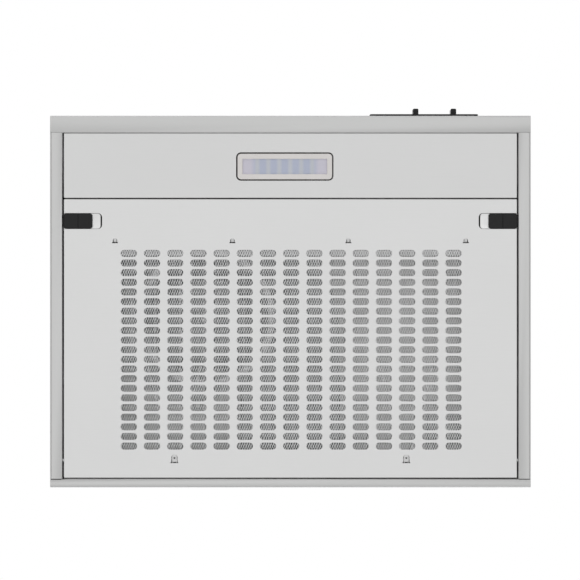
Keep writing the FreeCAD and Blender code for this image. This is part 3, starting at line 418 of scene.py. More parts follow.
# %% [markdown]
# ## Broken edges
# No edge on a made thing is perfectly sharp. Sheet leaves the shear with a small radius and moulded
# plastic has a larger one, and each catches a thin line of light. This step copies each carried-over
# node, joins its triangles into the flats that they came from, and bevels the hard edges. Folds are
# gentler than the limit, so they aren't bevelled, and even shading makes them look round.

# %% Bevelled copies
SLOT_OF = {row["node"]: row["material_slot"] for row in frame["record"]["subparts"]}
BODY_OF = {node: body for body, group in frame["record"]["behaviour"]["bodies"].items() for node in group}
EDGE_RADII = {                  # in millimetres
    "body_wrap": 0.2, "side_panel_left": 0.2, "side_panel_right": 0.2,
    "latch_guide_left": 0.2, "latch_guide_right": 0.2, "hinge_pins": 0.3,
    "led_driver": 1.0,
    "control_plate": 0.4, "fan_switch": 0.5, "light_switch": 0.5, "fan_knob": 0.6, "light_knob": 0.6,
    "scroll_housing": 0.25, "scroll_cover": 0.25, "inlet_guard": 0.35, "cover_screws": 0.4,
    "wheel_back": 0.25, "wheel_ring": 0.25, "motor_shaft": 0.5, "wheel_nut": 0.5,
    "motor": 1.2, "motor_grommets": 0.8, "capacitor": 1.4,
    "junction_box": 0.25, "junction_cover": 0.25, "terminal_block": 0.5, "cable_bush": 0.6,
    "damper_flap_front": 0.3, "damper_flap_rear": 0.3,
}
fold_limit = 50.0               # a turn gentler than this, in degrees, is a fold and not an edge


def bevelled_copy(node, radius):
    work = bmesh.new()
    work.from_mesh(nodes[node].data)
    bmesh.ops.remove_doubles(work, verts=work.verts[:], dist=0.001 * MM)
    bmesh.ops.dissolve_limit(work, angle_limit=math.radians(0.5), verts=work.verts[:], edges=work.edges[:])
    mesh = bpy.data.meshes.new(node + "_bevelled")
    work.to_mesh(mesh)
    work.free()
    piece = bpy.data.objects.new(node + "_bevelled", mesh)
    bpy.context.scene.collection.objects.link(piece)
    bevel = piece.modifiers.new("edges", "BEVEL")
    bevel.width = radius
    bevel.segments = 2
    bevel.limit_method = "ANGLE"
    bevel.angle_limit = math.radians(fold_limit)
    apply_modifiers(piece)
    dress(piece, BODY_OF[node], SLOT_OF[node], [node], smooth=fold_limit)
    return even_shading(piece)


# The latch guides and the lamp housing's clips are black zinc plate. On the guides the black is also painted
# shade: it darkens the narrow gap past each tongue's end, where the slot looks into the guide.
black_zinc_and_painted_shade = grained("black_zinc_plate", (0.03, 0.03, 0.032), 0.4, 0.6 * MM, 0.006 * MM, metal=1.0)
copies = {node: bevelled_copy(node, radius * MM) for node, radius in EDGE_RADII.items()}
guide_inner = 228.3 * MM         # inside of the guide's closed end
guide_reach = 1.7 * MM           # how much further it reaches than the CAD's, to make room for the tongue
guide_end = guide_inner + guide_reach + 1.0 * MM     # points nearer the middle than this are the end's
for side in ("left", "right"):
    guide = copies["latch_guide_" + side]
    guide.data.materials[0] = black_zinc_and_painted_shade
    for vertex in guide.data.vertices:
        if abs(vertex.co.x) < guide_end:
            vertex.co.x -= math.copysign(guide_reach, vertex.co.x)
print("bevelled copies:", len(copies), "with", sum(len(c.data.polygons) for c in copies.values()), "faces")

# %% [markdown]
# ## Tighter folds on the rims
# The real rims are folded round a finer radius than the construction model has, and their lips stand
# a little nearer to the panels. The folds run on into the walls, so instead of new pieces the points
# of the copies are moved: towards the fold's middle for the radius, and inwards for the lip.

# %% Tighter folds on the rims
rim_fold = 2.0 * MM              # outer radius of the rim's folds in the CAD
fold_cut = 0.7 * MM              # how much tighter the real folds are
lip_height = 25.0 * MM           # the lip's points lie up to this far above its fold
lip_depth = 1.2 * MM             # and up to this far behind its face
side_lip_shift = 0.4 * MM
front_lip_shift = 0.8 * MM
front_rim_width = 21.0 * MM
rear_gap = 1.0 * MM              # from the filter panel to the rear rim


def tighten_fold(piece, axis, edge, out, inward):
    """Draw the rim's lip inwards and tighten the fold below it; out is the sign from lip to rim."""
    turn_z = rim_z + rim_fold
    count = 0
    for vertex in piece.data.vertices:
        across = (vertex.co[axis] - edge) * out
        if across < -0.05 * MM or across > rim_fold + 0.02 * MM or vertex.co.z > turn_z + lip_height:
            continue
        if vertex.co.z < turn_z + 0.02 * MM:
            ray = Vector((across - rim_fold, vertex.co.z - turn_z))
            ray *= max(ray.length - fold_cut, 0.05 * MM) / max(ray.length, 0.01 * MM)
            vertex.co[axis] = edge + out * (rim_fold - fold_cut + ray.x - inward)
            vertex.co.z = turn_z - fold_cut + ray.y
            count += 1
        elif across < lip_depth:
            vertex.co[axis] -= out * inward
            count += 1
    return count


side_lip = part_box("side_panel_left")[1].x
print("fold points moved:",
      tighten_fold(copies["side_panel_left"], 0, side_lip, -1, side_lip_shift),
      tighten_fold(copies["side_panel_right"], 0, -side_lip, 1, side_lip_shift),
      tighten_fold(copies["body_wrap"], 1, wrap_low.y + front_rim_width, -1, front_lip_shift),
      tighten_fold(copies["body_wrap"], 1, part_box("filter_panel")[1].y + rear_gap, 1, 0.0))

# %% [markdown]
# ## Punched filter face
# The face is one sheet, with its four edges turned up and 315 obround slots punched through it. The
# slots could be a filled curve with holes, but the turned edges have to be one piece with the face,
# so the tray is a loft and the slots are cut from it. A punch leaves its edge slightly broken, so
# each cutter is a little wider at both faces of the sheet.

# %% Sizes of the filter face
panel_low, panel_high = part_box("filter_panel")
side_reach = 0.8 * MM           # the real gaps to the rims are finer than the CAD's
front_reach = 0.1 * MM
panel_low -= Vector((side_reach, front_reach, 0.0))
panel_high.x += side_reach
sheet = 1.0 * MM
slot_length = 20.0 * MM
slot_width = 8.5 * MM
column_pitch = 28.96 * MM
row_pitch = 12.03 * MM
slot_columns = 15
slot_rows = 21
field_middle_x = 1.0 * MM
first_row_y = panel_low.y + 67.9 * MM
last_row_y = first_row_y + (slot_rows - 1) * row_pitch
edge_break = 0.22 * MM
fold_radius = 1.08 * MM
tray_corner = 1.3 * MM
flange_top = panel_low.z + 12.0 * MM


def folded_tray(low, high, top_z):
    """Sheet from one corner to the other, its edges turned up over rounded folds."""
    rings = []
    steps = 5

    def ring(inset, z):
        corner = max(tray_corner - inset, 0.2 * MM)
        plan = rounded_rectangle(low.x + inset, high.x - inset, low.y + inset, high.y - inset, corner)
        rings.append(at_height(plan, z))

    for i in range(steps + 1):
        angle = math.radians(90.0 * i / steps)
        ring(fold_radius * (1 - math.sin(angle)), low.z + fold_radius * (1 - math.cos(angle)))
    ring(0.0, top_z)
    ring(sheet, top_z)
    inner = fold_radius - sheet
    for i in range(steps, -1, -1):
        angle = math.radians(90.0 * i / steps)
        ring(sheet + inner * (1 - math.sin(angle)), low.z + sheet + inner * (1 - math.cos(angle)))
    return loft(rings)


def punched(plan_of, low_z):
    """Cutter through the sheet; plan_of gives its outline grown by a distance."""
    over = 0.4 * MM
    levels = [
        (low_z - over, edge_break + over),
        (low_z + edge_break, 0.0),
        (low_z + sheet - edge_break, 0.0),
        (low_z + sheet + over, edge_break + over),
    ]
    return loft([at_height(plan_of(grow), z) for z, grow in levels])


def obround(x, y):
    def plan(grow):
        radius = slot_width / 2 + grow
        return rounded_rectangle(x - slot_length / 2 - grow, x + slot_length / 2 + grow,
                                 y - radius, y + radius, radius * 0.999, steps=5)
    return plan


# %% [markdown]
# ### Latch slots and lanced lugs
# Each latch slides in a long slot that is open at the panel's edge, and the turned-up edge has a notch
# there. The lugs that catch the wires are lanced: a punch cuts the sheet round a small arch, except at
# its end, and pushes it up. So the arch is cut from the face, and the lug is a sloping strip in it.

# %% Latch slots and lanced lugs
latch_low, latch_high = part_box("latch_slider_left")
latch_y = (latch_low.y + latch_high.y) / 2
latch_width = 19.5 * MM
latch_slot_x = panel_high.x - 47.9 * MM
latch_slot_corner = 5.0 * MM
past_edge = 3.0 * MM            # how far the slot's cutter runs out over the panel's edge
notch_height = 5.6 * MM


def latch_slot(side):
    def plan(grow):
        ends = sorted((side * (latch_slot_x - grow), side * (panel_high.x + past_edge)))
        half = latch_width / 2 + grow
        return rounded_rectangle(*ends, latch_y - half, latch_y + half, latch_slot_corner)
    return plan


def flange_notch(side):
    """Opening in the turned-up edge, where the latch comes out."""
    ends = sorted((side * (panel_high.x - 2.2 * MM), side * (panel_high.x + 1.0 * MM)))
    plan = rounded_rectangle(*ends, latch_y - latch_width / 2, latch_y + latch_width / 2, 0.2 * MM, 1)
    return loft([at_height(plan, panel_low.z - 1.0 * MM), at_height(plan, panel_low.z + notch_height)])


lug_row_front = first_row_y - slot_width / 2 - 8.5 * MM
lug_row_rear = last_row_y + slot_width / 2 + 17.0 * MM
field_half = (slot_columns - 1) * column_pitch / 2
front_lug = (7.5 * MM, 6.0 * MM)        # width and length
rear_lug = (9.8 * MM, 10.8 * MM)
lug_outer_x = field_half + 16.3 * MM
lug_inner_x = 2.5 * column_pitch
lug_rear_x = 5.0 * column_pitch
LUGS = []
for side in (-1, 1):
    LUGS.append((side * lug_outer_x, lug_row_front, *front_lug))
    LUGS.append((side * lug_inner_x, lug_row_front, *front_lug))
    LUGS.append((side * lug_rear_x, lug_row_rear, *rear_lug))
lug_neck = 2.0 * MM
lug_slit = 1.2 * MM
lug_gap = 0.9 * MM
lug_rise = 2.2 * MM
lug_thickness = 0.8 * MM
lug_eye_radius = 1.2 * MM
lug_eye_place = 0.58            # share of the lug's length from its slit


def arch(width, length, steps=7):
    """Outline of a lug from the middle of its base, rounded at the far end."""
    half = width / 2
    points = [(half, 0.0), (-half, 0.0)]
    for i in range(steps + 1):
        angle = math.radians(180.0 - 180.0 * i / steps)
        points.append((half * math.cos(angle), length - half + half * math.sin(angle)))
    return points


def lug_opening(x, y, width, length):
    """The arch that the lug leaves, with the relief slit at its base, in one outline."""
    over = 1.0 * MM
    plan = [(x + width / 2, y), (x - width / 2, y), (x - width / 2, y - lug_slit)]
    plan += [(x + px, y - max(py, lug_slit)) for px, py in arch(width - lug_neck, length)[1:]]
    plan += [(x + (width - lug_neck) / 2, y - lug_slit), (x + width / 2, y - lug_slit)]
    return loft([at_height(plan, panel_low.z - over), at_height(plan, panel_low.z + sheet + over)])


def lug_tab(x, y, width, length):
    """The lug itself: it rises from the arch's end, where it is still one with the sheet, to the slit."""
    outline = arch(width - lug_neck - 2 * lug_gap, length - lug_slit)
    rings = []
    for lift in (0.0, lug_thickness):
        ring = []
        for px, py in outline:
            rise = lug_rise * (1.0 - py / (length - lug_slit))
            ring.append((x + px, y - lug_slit - py, panel_low.z + rise + lift))
        rings.append(ring)
    return loft(rings)


def lug_eye(x, y, width, length):
    """Hole through a rear lug, where the wire's loop is hooked in."""
    plan = circle(x, y - lug_eye_place * length, lug_eye_radius, 16)
    return loft([at_height(plan, panel_low.z - 2 * lug_rise), at_height(plan, panel_low.z + 3 * lug_rise)])


print("slots:", slot_columns * slot_rows, "lugs:", len(LUGS))

# %% Build the filter face
tray = folded_tray(panel_low, panel_high, flange_top)
holes = []
for column in range(slot_columns):
    x = field_middle_x - field_half + column * column_pitch
    for row in range(slot_rows):
        holes.append(punched(obround(x, first_row_y + row * row_pitch), panel_low.z))
holes += [punched(latch_slot(side), panel_low.z) for side in (-1, 1)]
holes += [lug_opening(*lug) for lug in LUGS]
notches = [flange_notch(-1), flange_notch(1)]
filter_face = new_piece("filter_face", *tray, "door", "panel_steel", ["filter_panel"], smooth=40.0,
                        cuts=[holes, notches])
even_shading(filter_face)
eyes = [lug_eye(*lug) for lug in LUGS if lug[2:] == rear_lug]
new_piece("filter_lugs", *join_parts([lug_tab(*lug) for lug in LUGS]), "door", "panel_steel", cuts=[eyes])
print("filter face:", len(filter_face.data.polygons), "faces")

# %% [markdown]
# ## Light panel
# The fixed panel in front is made like the filter's face, with one opening for the lamp. It hangs
# from the side rims on two hooked plates. They are a strip each, bent once.

# %% Build the light panel
light_low, light_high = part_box("light_panel")
light_reach = (1.1 * MM, 1.0 * MM)      # forwards and back, because these gaps too are finer
light_low.y -= light_reach[0]
light_high.y += light_reach[1]
lamp_low, lamp_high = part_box("led_frame")
lamp_x = (lamp_low.x + lamp_high.x) / 2
lamp_y = (lamp_low.y + lamp_high.y) / 2
lamp_length = 121.4 * MM
lamp_width = 35.3 * MM
lamp_corner = 6.0 * MM
hanger_half = 20.0 * MM
hanger_foot = 8.0 * MM          # above the panel's face
hanger_bend = 1.0 * MM


def lamp_opening(grow):
    x = lamp_length / 2 + grow
    y = lamp_width / 2 + grow
    return rounded_rectangle(lamp_x - x, lamp_x + x, lamp_y - y, lamp_y + y, lamp_corner + grow)


tray = folded_tray(Vector((panel_low.x, light_low.y, light_low.z)),
                   Vector((panel_high.x, light_high.y, light_low.z)),
                   light_low.z + flange_top - panel_low.z)
front_strip_steel = satin_steel("satin_steel_front_strip", (0.707, 0.707, 0.707), 0.36)
light_face = new_piece("light_face", *tray, "hood", "panel_steel", ["light_panel"], smooth=40.0,
                       finish=front_strip_steel, cuts=[[punched(lamp_opening, light_low.z)]])
even_shading(light_face)


def hanger(side):
    """Section: up the panel's turned edge, round a bend, and out over the rim's lip."""
    wall = panel_high.x
    foot = light_low.z + hanger_foot
    top = light_high.z
    section = [(wall - sheet, foot), (wall, foot), (wall, top - sheet)]
    section += [(light_high.x, top - sheet), (light_high.x, top)]
    for i in range(4):
        angle = math.radians(90.0 + 30.0 * i)
        section.append((wall - sheet + hanger_bend + hanger_bend * math.cos(angle),
                        top - hanger_bend + hanger_bend * math.sin(angle)))
    middle = (light_low.y + light_high.y) / 2
    return loft([[(side * x, middle + end * hanger_half, z) for x, z in section] for end in (-1, 1)])


new_piece("light_hangers", *join_parts([hanger(-1), hanger(1)]), "hood", "panel_steel")
print("light panel:", len(light_face.data.polygons), "faces")

# %% [markdown]
# ## Lamp
# Behind the frosted window stand six chips on a white board. The window is moulded with fine upright
# ribs, which draw each chip out into a pale streak. The lamp is off, so the streaks could only come
# from rays that pass the ribs twice, and that takes many samples. The plastic's colour has them
# instead, as painted light: a wave along X that fades past the last chip. The window's lower face
# still has its ribs.

# %% Milky plastic with painted streaks
chip_count = 6
chip_pitch = 13.7 * MM


def frosted_window(name, ends, between_chips, streak):
    """Milky plastic: where the chips stand behind it, painted pale streaks alternate with a bluer ground."""
    material, tree, shader = start_finish(name, ends, 0.35)
    shader.inputs["Transmission Weight"].default_value = 0.10
    shader.inputs["IOR"].default_value = 1.45
    place = tree.nodes.new("ShaderNodeTexCoord")
    split = tree.nodes.new("ShaderNodeSeparateXYZ")
    tree.links.new(place.outputs["Object"], split.inputs["Vector"])
    from_middle = reckon(tree, "SUBTRACT", split.outputs["X"], lamp_x)
    phase = reckon(tree, "MULTIPLY_ADD", from_middle, 2 * math.pi / chip_pitch, math.pi)
    wave = reckon(tree, "COSINE", phase)
    streaks = mixed(tree, in_range(tree, wave, 0.0, 1.0, -0.2, 1.0), (*between_chips, 1.0), (*streak, 1.0))
    row_end = chip_pitch * (chip_count - 1) / 2
    near = in_range(tree, reckon(tree, "ABSOLUTE", from_middle), 1.0, 0.0,
                    row_end + 0.1 * chip_pitch, row_end + 0.6 * chip_pitch)
    tree.links.new(mixed(tree, near, (*ends, 1.0), streaks), shader.inputs["Base Color"])
    frost = noise(tree, 2500.0)
    tree.links.new(in_range(tree, frost, 0.28, 0.45), shader.inputs["Roughness"])
    relief(tree, shader, frost, 0.004 * MM)
    return material


milky_with_painted_streaks = frosted_window("frosted_window", (0.744, 0.722, 0.816), (0.58, 0.62, 0.76), (0.672, 0.695, 0.75))
print("a pale streak every", round(chip_pitch / MM, 1), "mm")

# %% Ribbed window
lens_low, lens_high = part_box("led_lens")
rib_pitch = 1.1 * MM
rib_depth = 0.25 * MM


def ribbed_window():
    """Section along X, waved below and flat above, pushed along Y."""
    waves = int((lens_high.x - lens_low.x) / rib_pitch)
    steps = 4
    lower = []
    for i in range(waves * steps + 1):
        share = i / (waves * steps)
        depth = rib_depth * (0.5 - 0.5 * math.cos(2 * math.pi * waves * share))
        lower.append((lens_low.x + (lens_high.x - lens_low.x) * share, lens_low.z + depth))
    section = lower + [(lens_high.x, lens_high.z), (lens_low.x, lens_high.z)]
    return loft([[(x, y, z) for x, z in section] for y in (lens_low.y, lens_high.y)])


window = new_piece("ribbed_window", *ribbed_window(), "hood", "lamp_window", ["led_lens"], finish=milky_with_painted_streaks)
print("lamp:", len(window.data.polygons), "faces in the window")

# %% Board and chips
board_low, board_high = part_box("led_board")
board_corner = 0.8 * MM
board_thickness = 1.6 * MM
board_face_z = board_high.z - board_thickness
chip_half = 2.5 * MM
chip_corner = 0.4 * MM
chip_bevel = 0.15 * MM
dome_levels = ((1.9, 0.3), (1.9, -0.02), (1.2, -0.18))      # radius and height over the chip's face, in mm
board_plan = rounded_rectangle(board_low.x, board_high.x, board_low.y, board_high.y, board_corner, 3)
board = loft([at_height(board_plan, board_face_z), at_height(board_plan, board_high.z)])
new_piece("lamp_board", *board, "hood", "circuit_board", ["led_board"])
phosphor = grained("phosphor", (0.80, 0.78, 0.38), 0.4, 0.3 * MM, 0.01 * MM)
shells = []
domes = []
for i in range(chip_count):
    x = lamp_x + (i - (chip_count - 1) / 2) * chip_pitch
    rings = []
    for inset, z in ((0.0, board_face_z), (0.0, board_low.z + chip_bevel), (chip_bevel, board_low.z)):
        half = chip_half - inset
        plan = rounded_rectangle(x - half, x + half, lamp_y - half, lamp_y + half, chip_corner, 3)
        rings.append(at_height(plan, z))
    shells.append(loft(rings))
    domes.append(loft([at_height(circle(x, lamp_y, radius * MM, 20), board_low.z + rise * MM)
                       for radius, rise in dome_levels]))
new_piece("chip_shells", *join_parts(shells), "hood", "circuit_board")
new_piece("chip_domes", *join_parts(domes), "hood", "circuit_board", finish=phosphor)
print("chips:", chip_count)

# %% [markdown]
# ### Lamp housing
# The housing shows as a cream frame round the window, set off from the panel by a dark groove. The
# groove is dark because nothing closes it: the housing hangs on four clips that reach over the
# panel's back. Its outer edge is rounded, and the window's opening goes right through.

# %% Housing with its clips
housing_groove = 1.6 * MM
window_half_x = 52.8 * MM
window_half_y = 9.5 * MM
window_corner = 0.6 * MM
pocket_margin = 2.0 * MM
housing_edge = 0.7 * MM         # radius of the outer edge
window_edge = 0.25 * MM         # and how far the opening's edge is broken
clip_x = 40.0 * MM
clip_half = (5.0 * MM, 3.0 * MM)
clip_corner = 1.0 * MM
clip_thickness = 1.4 * MM


def housing_ring(grow, z):
    return at_height(lamp_opening(grow - housing_groove), z)


def window_ring(margin, z):
    plan = rounded_rectangle(lamp_x - window_half_x - margin, lamp_x + window_half_x + margin,
                             lamp_y - window_half_y - margin, lamp_y + window_half_y + margin, window_corner)
    return at_height(plan, z)


face_z = lamp_low.z
rings = []
for i in range(5):
    angle = math.radians(90.0 * i / 4)
    rings.append(housing_ring(-housing_edge * (1 - math.sin(angle)),
                              face_z + housing_edge * (1 - math.cos(angle))))
rings += [
    housing_ring(0.0, lamp_high.z),
    window_ring(pocket_margin, lamp_high.z),
    window_ring(pocket_margin, lens_low.z),
    window_ring(0.0, lens_low.z),
    window_ring(0.0, face_z + window_edge),
    window_ring(window_edge, face_z),
]
housing = new_piece("lamp_housing", *loft(rings, closed=True), "hood", "lamp_frame", ["led_frame"],
                    smooth=40.0)
even_shading(housing)
clips = []
clip_z = light_low.z + sheet + 0.05 * MM
for x in (lamp_x - clip_x, lamp_x + clip_x):
    for end in (-1, 1):
        y = lamp_y + end * (lamp_width / 2 + 1.0 * MM)
        plan = rounded_rectangle(x - clip_half[0], x + clip_half[0], y - clip_half[1], y + clip_half[1],
                                 clip_corner, 3)
        clips.append(loft([at_height(plan, clip_z), at_height(plan, clip_z + clip_thickness)]))
new_piece("housing_clips", *join_parts(clips), "hood", "lamp_frame", finish=black_zinc_and_painted_shade)
print("lamp housing:", len(housing.data.polygons), "faces")

# %% [markdown]
# ## Expanded aluminium mesh
# Behind the slots lie two layers of expanded foil mesh, a net of small diamonds. Foil is slit and
# pulled, so each strand is a flat zigzag ribbon that meets its neighbours at every peak. One ribbon
# is a row of points, and all of them come from one grid. The two layers are shifted and stretched a
# little against each other, so the net looks a little different through each slot. A picture with
# holes would be lighter, but it would be flat where the strands turn and cross. The mat is folded
# over at its front edge, so the first row of slots shows twice as much metal.

# %% Mesh layers
diamond_x = 3.0 * MM            # across one diamond
diamond_y = 6.8 * MM            # along one diamond
strand_width = 0.43 * MM
strand_lap = 0.3 * strand_width # how far neighbours overlap where they meet
strand_thickness = 0.22 * MM
strand_tilt = 0.08 * MM


def mesh_layer(name, node, low, high, stretch, shift, height, replaced):
    pitch = diamond_x * stretch
    step = diamond_y * stretch / 2
    lines = int((high[0] - low[0] - pitch) / (pitch / 2))
    rows = int((high[1] - low[1] - strand_width - shift[1]) / step)
    points = []
    faces = []
    half = strand_width / 2
    swing = pitch / 4 - (strand_width - strand_lap) / 2
    for line in range(lines):
        middle_x = low[0] + shift[0] + (line + 1) * pitch / 2
        tilt = strand_tilt * (1 if line % 2 else -1)
        start = len(points)
        for row in range(rows + 1):
            x = middle_x + swing * (1 if (row + line) % 2 else -1)
            y = low[1] + strand_width / 2 + shift[1] + row * step
            points += [(x - half, y, height - tilt), (x + half, y, height + tilt),
                       (x + half, y, height + tilt + strand_thickness),
                       (x - half, y, height - tilt + strand_thickness)]
        for row in range(rows):
            a = start + 4 * row
            for k in range(4):
                m = (k + 1) % 4
                faces.append((a + k, a + m, a + 4 + m, a + 4 + k))
        faces.append((start + 3, start + 2, start + 1, start))
        last = start + 4 * rows
        faces.append((last, last + 1, last + 2, last + 3))
    return new_piece(name, points, faces, "door", "mesh_aluminium", replaced, smooth=25.0)


mat_low, mat_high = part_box("mesh_lower")
mesh_floor = mat_low.z + 0.32 * MM
hem_rear = first_row_y + slot_width / 2 + 2.0 * MM
LAYERS = (
    ("expanded_mesh_lower", "mesh_lower", mat_high.y, 1.0, (0.0, 0.0), 0.0),
    ("expanded_mesh_upper", "mesh_upper", mat_high.y, 1.0008, (0.1 * MM, 0.4 * MM), 0.62 * MM),
    ("mesh_hem", None, hem_rear, 1.0, (0.95 * MM, 0.2 * MM), 0.31 * MM),
)
for name, node, rear, stretch, shift, rise in LAYERS:
    layer = mesh_layer(name, node, (mat_low.x, mat_low.y), (mat_high.x, rear), stretch, shift,
                       mesh_floor + rise, [node] if node else [])
    print(name, len(layer.data.polygons), "faces")

# %% [markdown]
# ## Slide latches
# The finger pad is black plastic with a rounded rim, a grip groove across its middle and a small nub
# at each end of the groove. Behind it the slider spreads into wings under the panel, and a nose
# reaches out towards the rim. Each part is a rounded block, which is a loft whose first and last
# rings step inwards round a quarter circle.

# %% Rounded blocks
def rounded_slab(x0, x1, y0, y1, z0, z1, corner, edge, steps=4):
    """Block with rounded upright edges (corner) and rounded rims (edge) above and below."""
    rings = []
    angles = [math.radians(90.0 * i / steps) for i in range(steps + 1)]
    levels = [(edge * (1 - math.sin(a)), z0 + edge * (1 - math.cos(a))) for a in angles]
    levels += [(edge * (1 - math.sin(a)), z1 - edge * (1 - math.cos(a))) for a in reversed(angles)]
    for inset, z in levels:
        radius = max(corner - inset, 0.1 * MM)
        rings.append(at_height(rounded_rectangle(x0 + inset, x1 - inset, y0 + inset, y1 - inset, radius), z))
    return loft(rings)


def groove_cutter(x, y0, y1, z, width):
    """Half-round groove across the pad's face."""
    return loft([[(px, y, pz) for px, pz in circle(x, z, width / 2, 20)] for y in (y0, y1)])


print("a rounded block has", len(rounded_slab(0, 1, 0, 1, 0, 1, 0.2, 0.1)[1]), "faces")

# %% Latch sliders
pad_inner = 247.3 * MM
pad_outer = panel_high.x - 0.3 * MM
pad_half = latch_width / 2 - 0.65 * MM
pad_corner = 2.2 * MM
pad_edge = 0.75 * MM
groove_width = 1.2 * MM
nub_half = (1.0 * MM, 0.7 * MM)
slider_half = latch_width / 2 - 0.3 * MM
slider_thickness = 4.0 * MM
wing_reach = 7.3 * MM
wing_length = 25.0 * MM
wing_inset = 6.0 * MM
wing_outer = panel_high.x - wing_inset
wing_inner = wing_outer - wing_length
nose_half = 7.5 * MM
tongue_half = latch_width / 2 - 0.2 * MM
tongue_thickness = 1.0 * MM
tongue_inner = latch_slot_x + 1.9 * MM
tongue_corner = 3.6 * MM
bright_zinc = grained("bright_zinc_plate", (0.80, 0.80, 0.80), 0.36, 0.6 * MM, 0.006 * MM, metal=1.0)
for name, sign in (("left", -1), ("right", 1)):
    low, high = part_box("latch_slider_" + name)
    body = "latch_" + name
    slider_z = high.z - slider_thickness
    middle = sign * (pad_inner + pad_outer) / 2

    def slab(near, far, half_width, z0, z1, corner, edge):
        ends = sorted((sign * near, sign * far))
        return rounded_slab(*ends, latch_y - half_width, latch_y + half_width, z0, z1, corner, edge)

    pad = slab(pad_inner, pad_outer, pad_half, low.z, slider_z, pad_corner, pad_edge)
    groove = groove_cutter(middle, latch_y - latch_width, latch_y + latch_width,
                           low.z - 0.1 * MM, groove_width)
    new_piece("latch_pad_" + name, *pad, body, "black_plastic", ["latch_slider_" + name], smooth=50.0,
              cuts=[[groove]])
    parts = []
    for end in (-1, 1):
        y = latch_y + end * (slider_half - 0.6 * MM)
        parts.append(rounded_slab(middle - nub_half[0], middle + nub_half[0],
                                  y - nub_half[1], y + nub_half[1],
                                  low.z + 0.02 * MM, slider_z, 0.6 * MM, 0.4 * MM))
    parts += [
        slab(wing_inner, wing_outer, slider_half + wing_reach, slider_z, high.z, 1.2 * MM, 0.4 * MM),
        slab(wing_outer - 1.0 * MM, max(-low.x, high.x), nose_half, slider_z, high.z, 0.8 * MM, 0.5 * MM),
        slab(pad_inner, wing_inner + 1.0 * MM, slider_half, slider_z + tongue_thickness, high.z,
             0.8 * MM, 0.3 * MM),
    ]
    new_piece("latch_slide_" + name, *join_parts(parts), body, "black_plastic", smooth=50.0)
    tongue = slab(tongue_inner, wing_inner, tongue_half, slider_z, slider_z + tongue_thickness,
                  tongue_corner, 0.2 * MM)
    new_piece("latch_tongue_" + name, *tongue, body, "screw_steel", smooth=50.0, finish=bright_zinc)
print("latch pads", round((pad_outer - pad_inner) / MM, 1), "mm long")

# %% [markdown]
# ## Spring wire that holds the mesh
# Two hairpins of spring wire press the mat down. Each goes up from one front lug to the rear lug,
# round a tight loop there, and back to the next front lug. The path is two tangents and an arc, and
# the wire is a round tube along it.

# %% Wire retainers
wire_radius = 0.8 * MM
wire_loop = 1.7 * MM
wire_tail = 4.0 * MM
wire_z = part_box("mesh_retainer_left")[0].z + wire_radius


def hairpin(rear_x, left_x, right_x):
    centre = Vector((rear_x, lug_row_rear + wire_tail - wire_loop, 0.0))
    headings = []
    ends = []
    for side, x in ((1, left_x), (-1, right_x)):
        end = Vector((x, lug_row_front - wire_tail, 0.0))
        leg = end - centre
        headings.append(math.atan2(leg.y, leg.x) - side * math.acos(wire_loop / leg.length))
        ends.append(end)
    sweep = (headings[0] - headings[1]) % (2 * math.pi)
    path = [ends[0]]
    for i in range(13):
        angle = headings[0] - sweep * i / 12
        path.append(centre + Vector((math.cos(angle), math.sin(angle), 0.0)) * wire_loop)
    path.append(ends[1])
    return [(p.x, p.y, wire_z) for p in path]


new_piece("wire_left", *tube_along(hairpin(-lug_rear_x, -lug_outer_x, -lug_inner_x), wire_radius),
          "door", "spring_wire", ["mesh_retainer_left"], smooth=60.0)
new_piece("wire_right", *tube_along(hairpin(lug_rear_x, lug_inner_x, lug_outer_x), wire_radius),
          "door", "spring_wire", ["mesh_retainer_right"], smooth=60.0)
print("wires at z", round(wire_z, 4))

# %% [markdown]
# ## Latch springs
# Two coil springs push each latch outwards. A coil is a round wire along a helix, with closed turns
# at both ends, so a formula gives its path.

# %% Coil springs
coil_wire = 0.45 * MM            # radius of the springs' wire
coil_turns = 9.0


def helix(x0, x1, y, z, radius, turns, closed_turns=1.0, per_turn=14):
    path = []
    count = int(turns * per_turn)
    lead = 2 * coil_wire         # closed turns lie one wire apart
    open_pitch = (abs(x1 - x0) - 2 * coil_wire - 2 * closed_turns * lead) / (turns - 2 * closed_turns)
    for i in range(count + 1):
        turn = turns * i / count
        lead_in = min(turn, closed_turns) + min(max(turn - (turns - closed_turns), 0.0), closed_turns)
        along = coil_wire + lead_in * lead + (turn - lead_in) * open_pitch
        angle = 2 * math.pi * turn
        x = x0 + math.copysign(along, x1 - x0)
        path.append((x, y + radius * math.cos(angle), z + radius * math.sin(angle)))
    return tube_along(path, coil_wire, sides=6)


for name, joint in (("left", "latch_left_slide"), ("right", "latch_right_slide")):
    low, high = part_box("latch_springs_" + name)
    coil_radius = (high.z - low.z) / 2 - coil_wire
    middle_z = (low.z + high.z) / 2
    sign = -1 if name == "left" else 1
    fixed_x = sign * guide_inner
    moving_x = sign * wing_inner
    coils = []
    for y in (low.y + coil_radius + coil_wire, high.y - coil_radius - coil_wire):
        coils.append(helix(fixed_x, moving_x, y, middle_z, coil_radius, coil_turns))
    springs = new_piece("coils_" + name, *join_parts(coils), "door", "spring_wire",
                        ["latch_springs_" + name], smooth=60.0)
    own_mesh(springs)
print("coil radius", round(coil_radius / MM, 2), "mm")

# %% [markdown]
# ## Blower wheel and duct collar
# The wheel's blades are thin strips that curve forwards. A blade has the same section all the way up,
# so it is one curved outline, pushed straight up and repeated round the axle. The collar is a turned
# plastic tube on a square flange, with two small stops for the damper's flaps. Its section goes once
# round the axis, which gives the rim its broken edges with no bevel.

# %% Curved blades
blades_low, blades_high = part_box("wheel_blades")
wheel_x = (blades_low.x + blades_high.x) / 2
wheel_y = (blades_low.y + blades_high.y) / 2
blade_count = 24
blade_inner = 76.0 * MM
blade_outer = 90.0 * MM
blade_thickness = 0.8 * MM
blade_sweep = 7.0               # degrees from the inner edge to the tip
blade_bow = 2.5                 # degrees that the middle lags


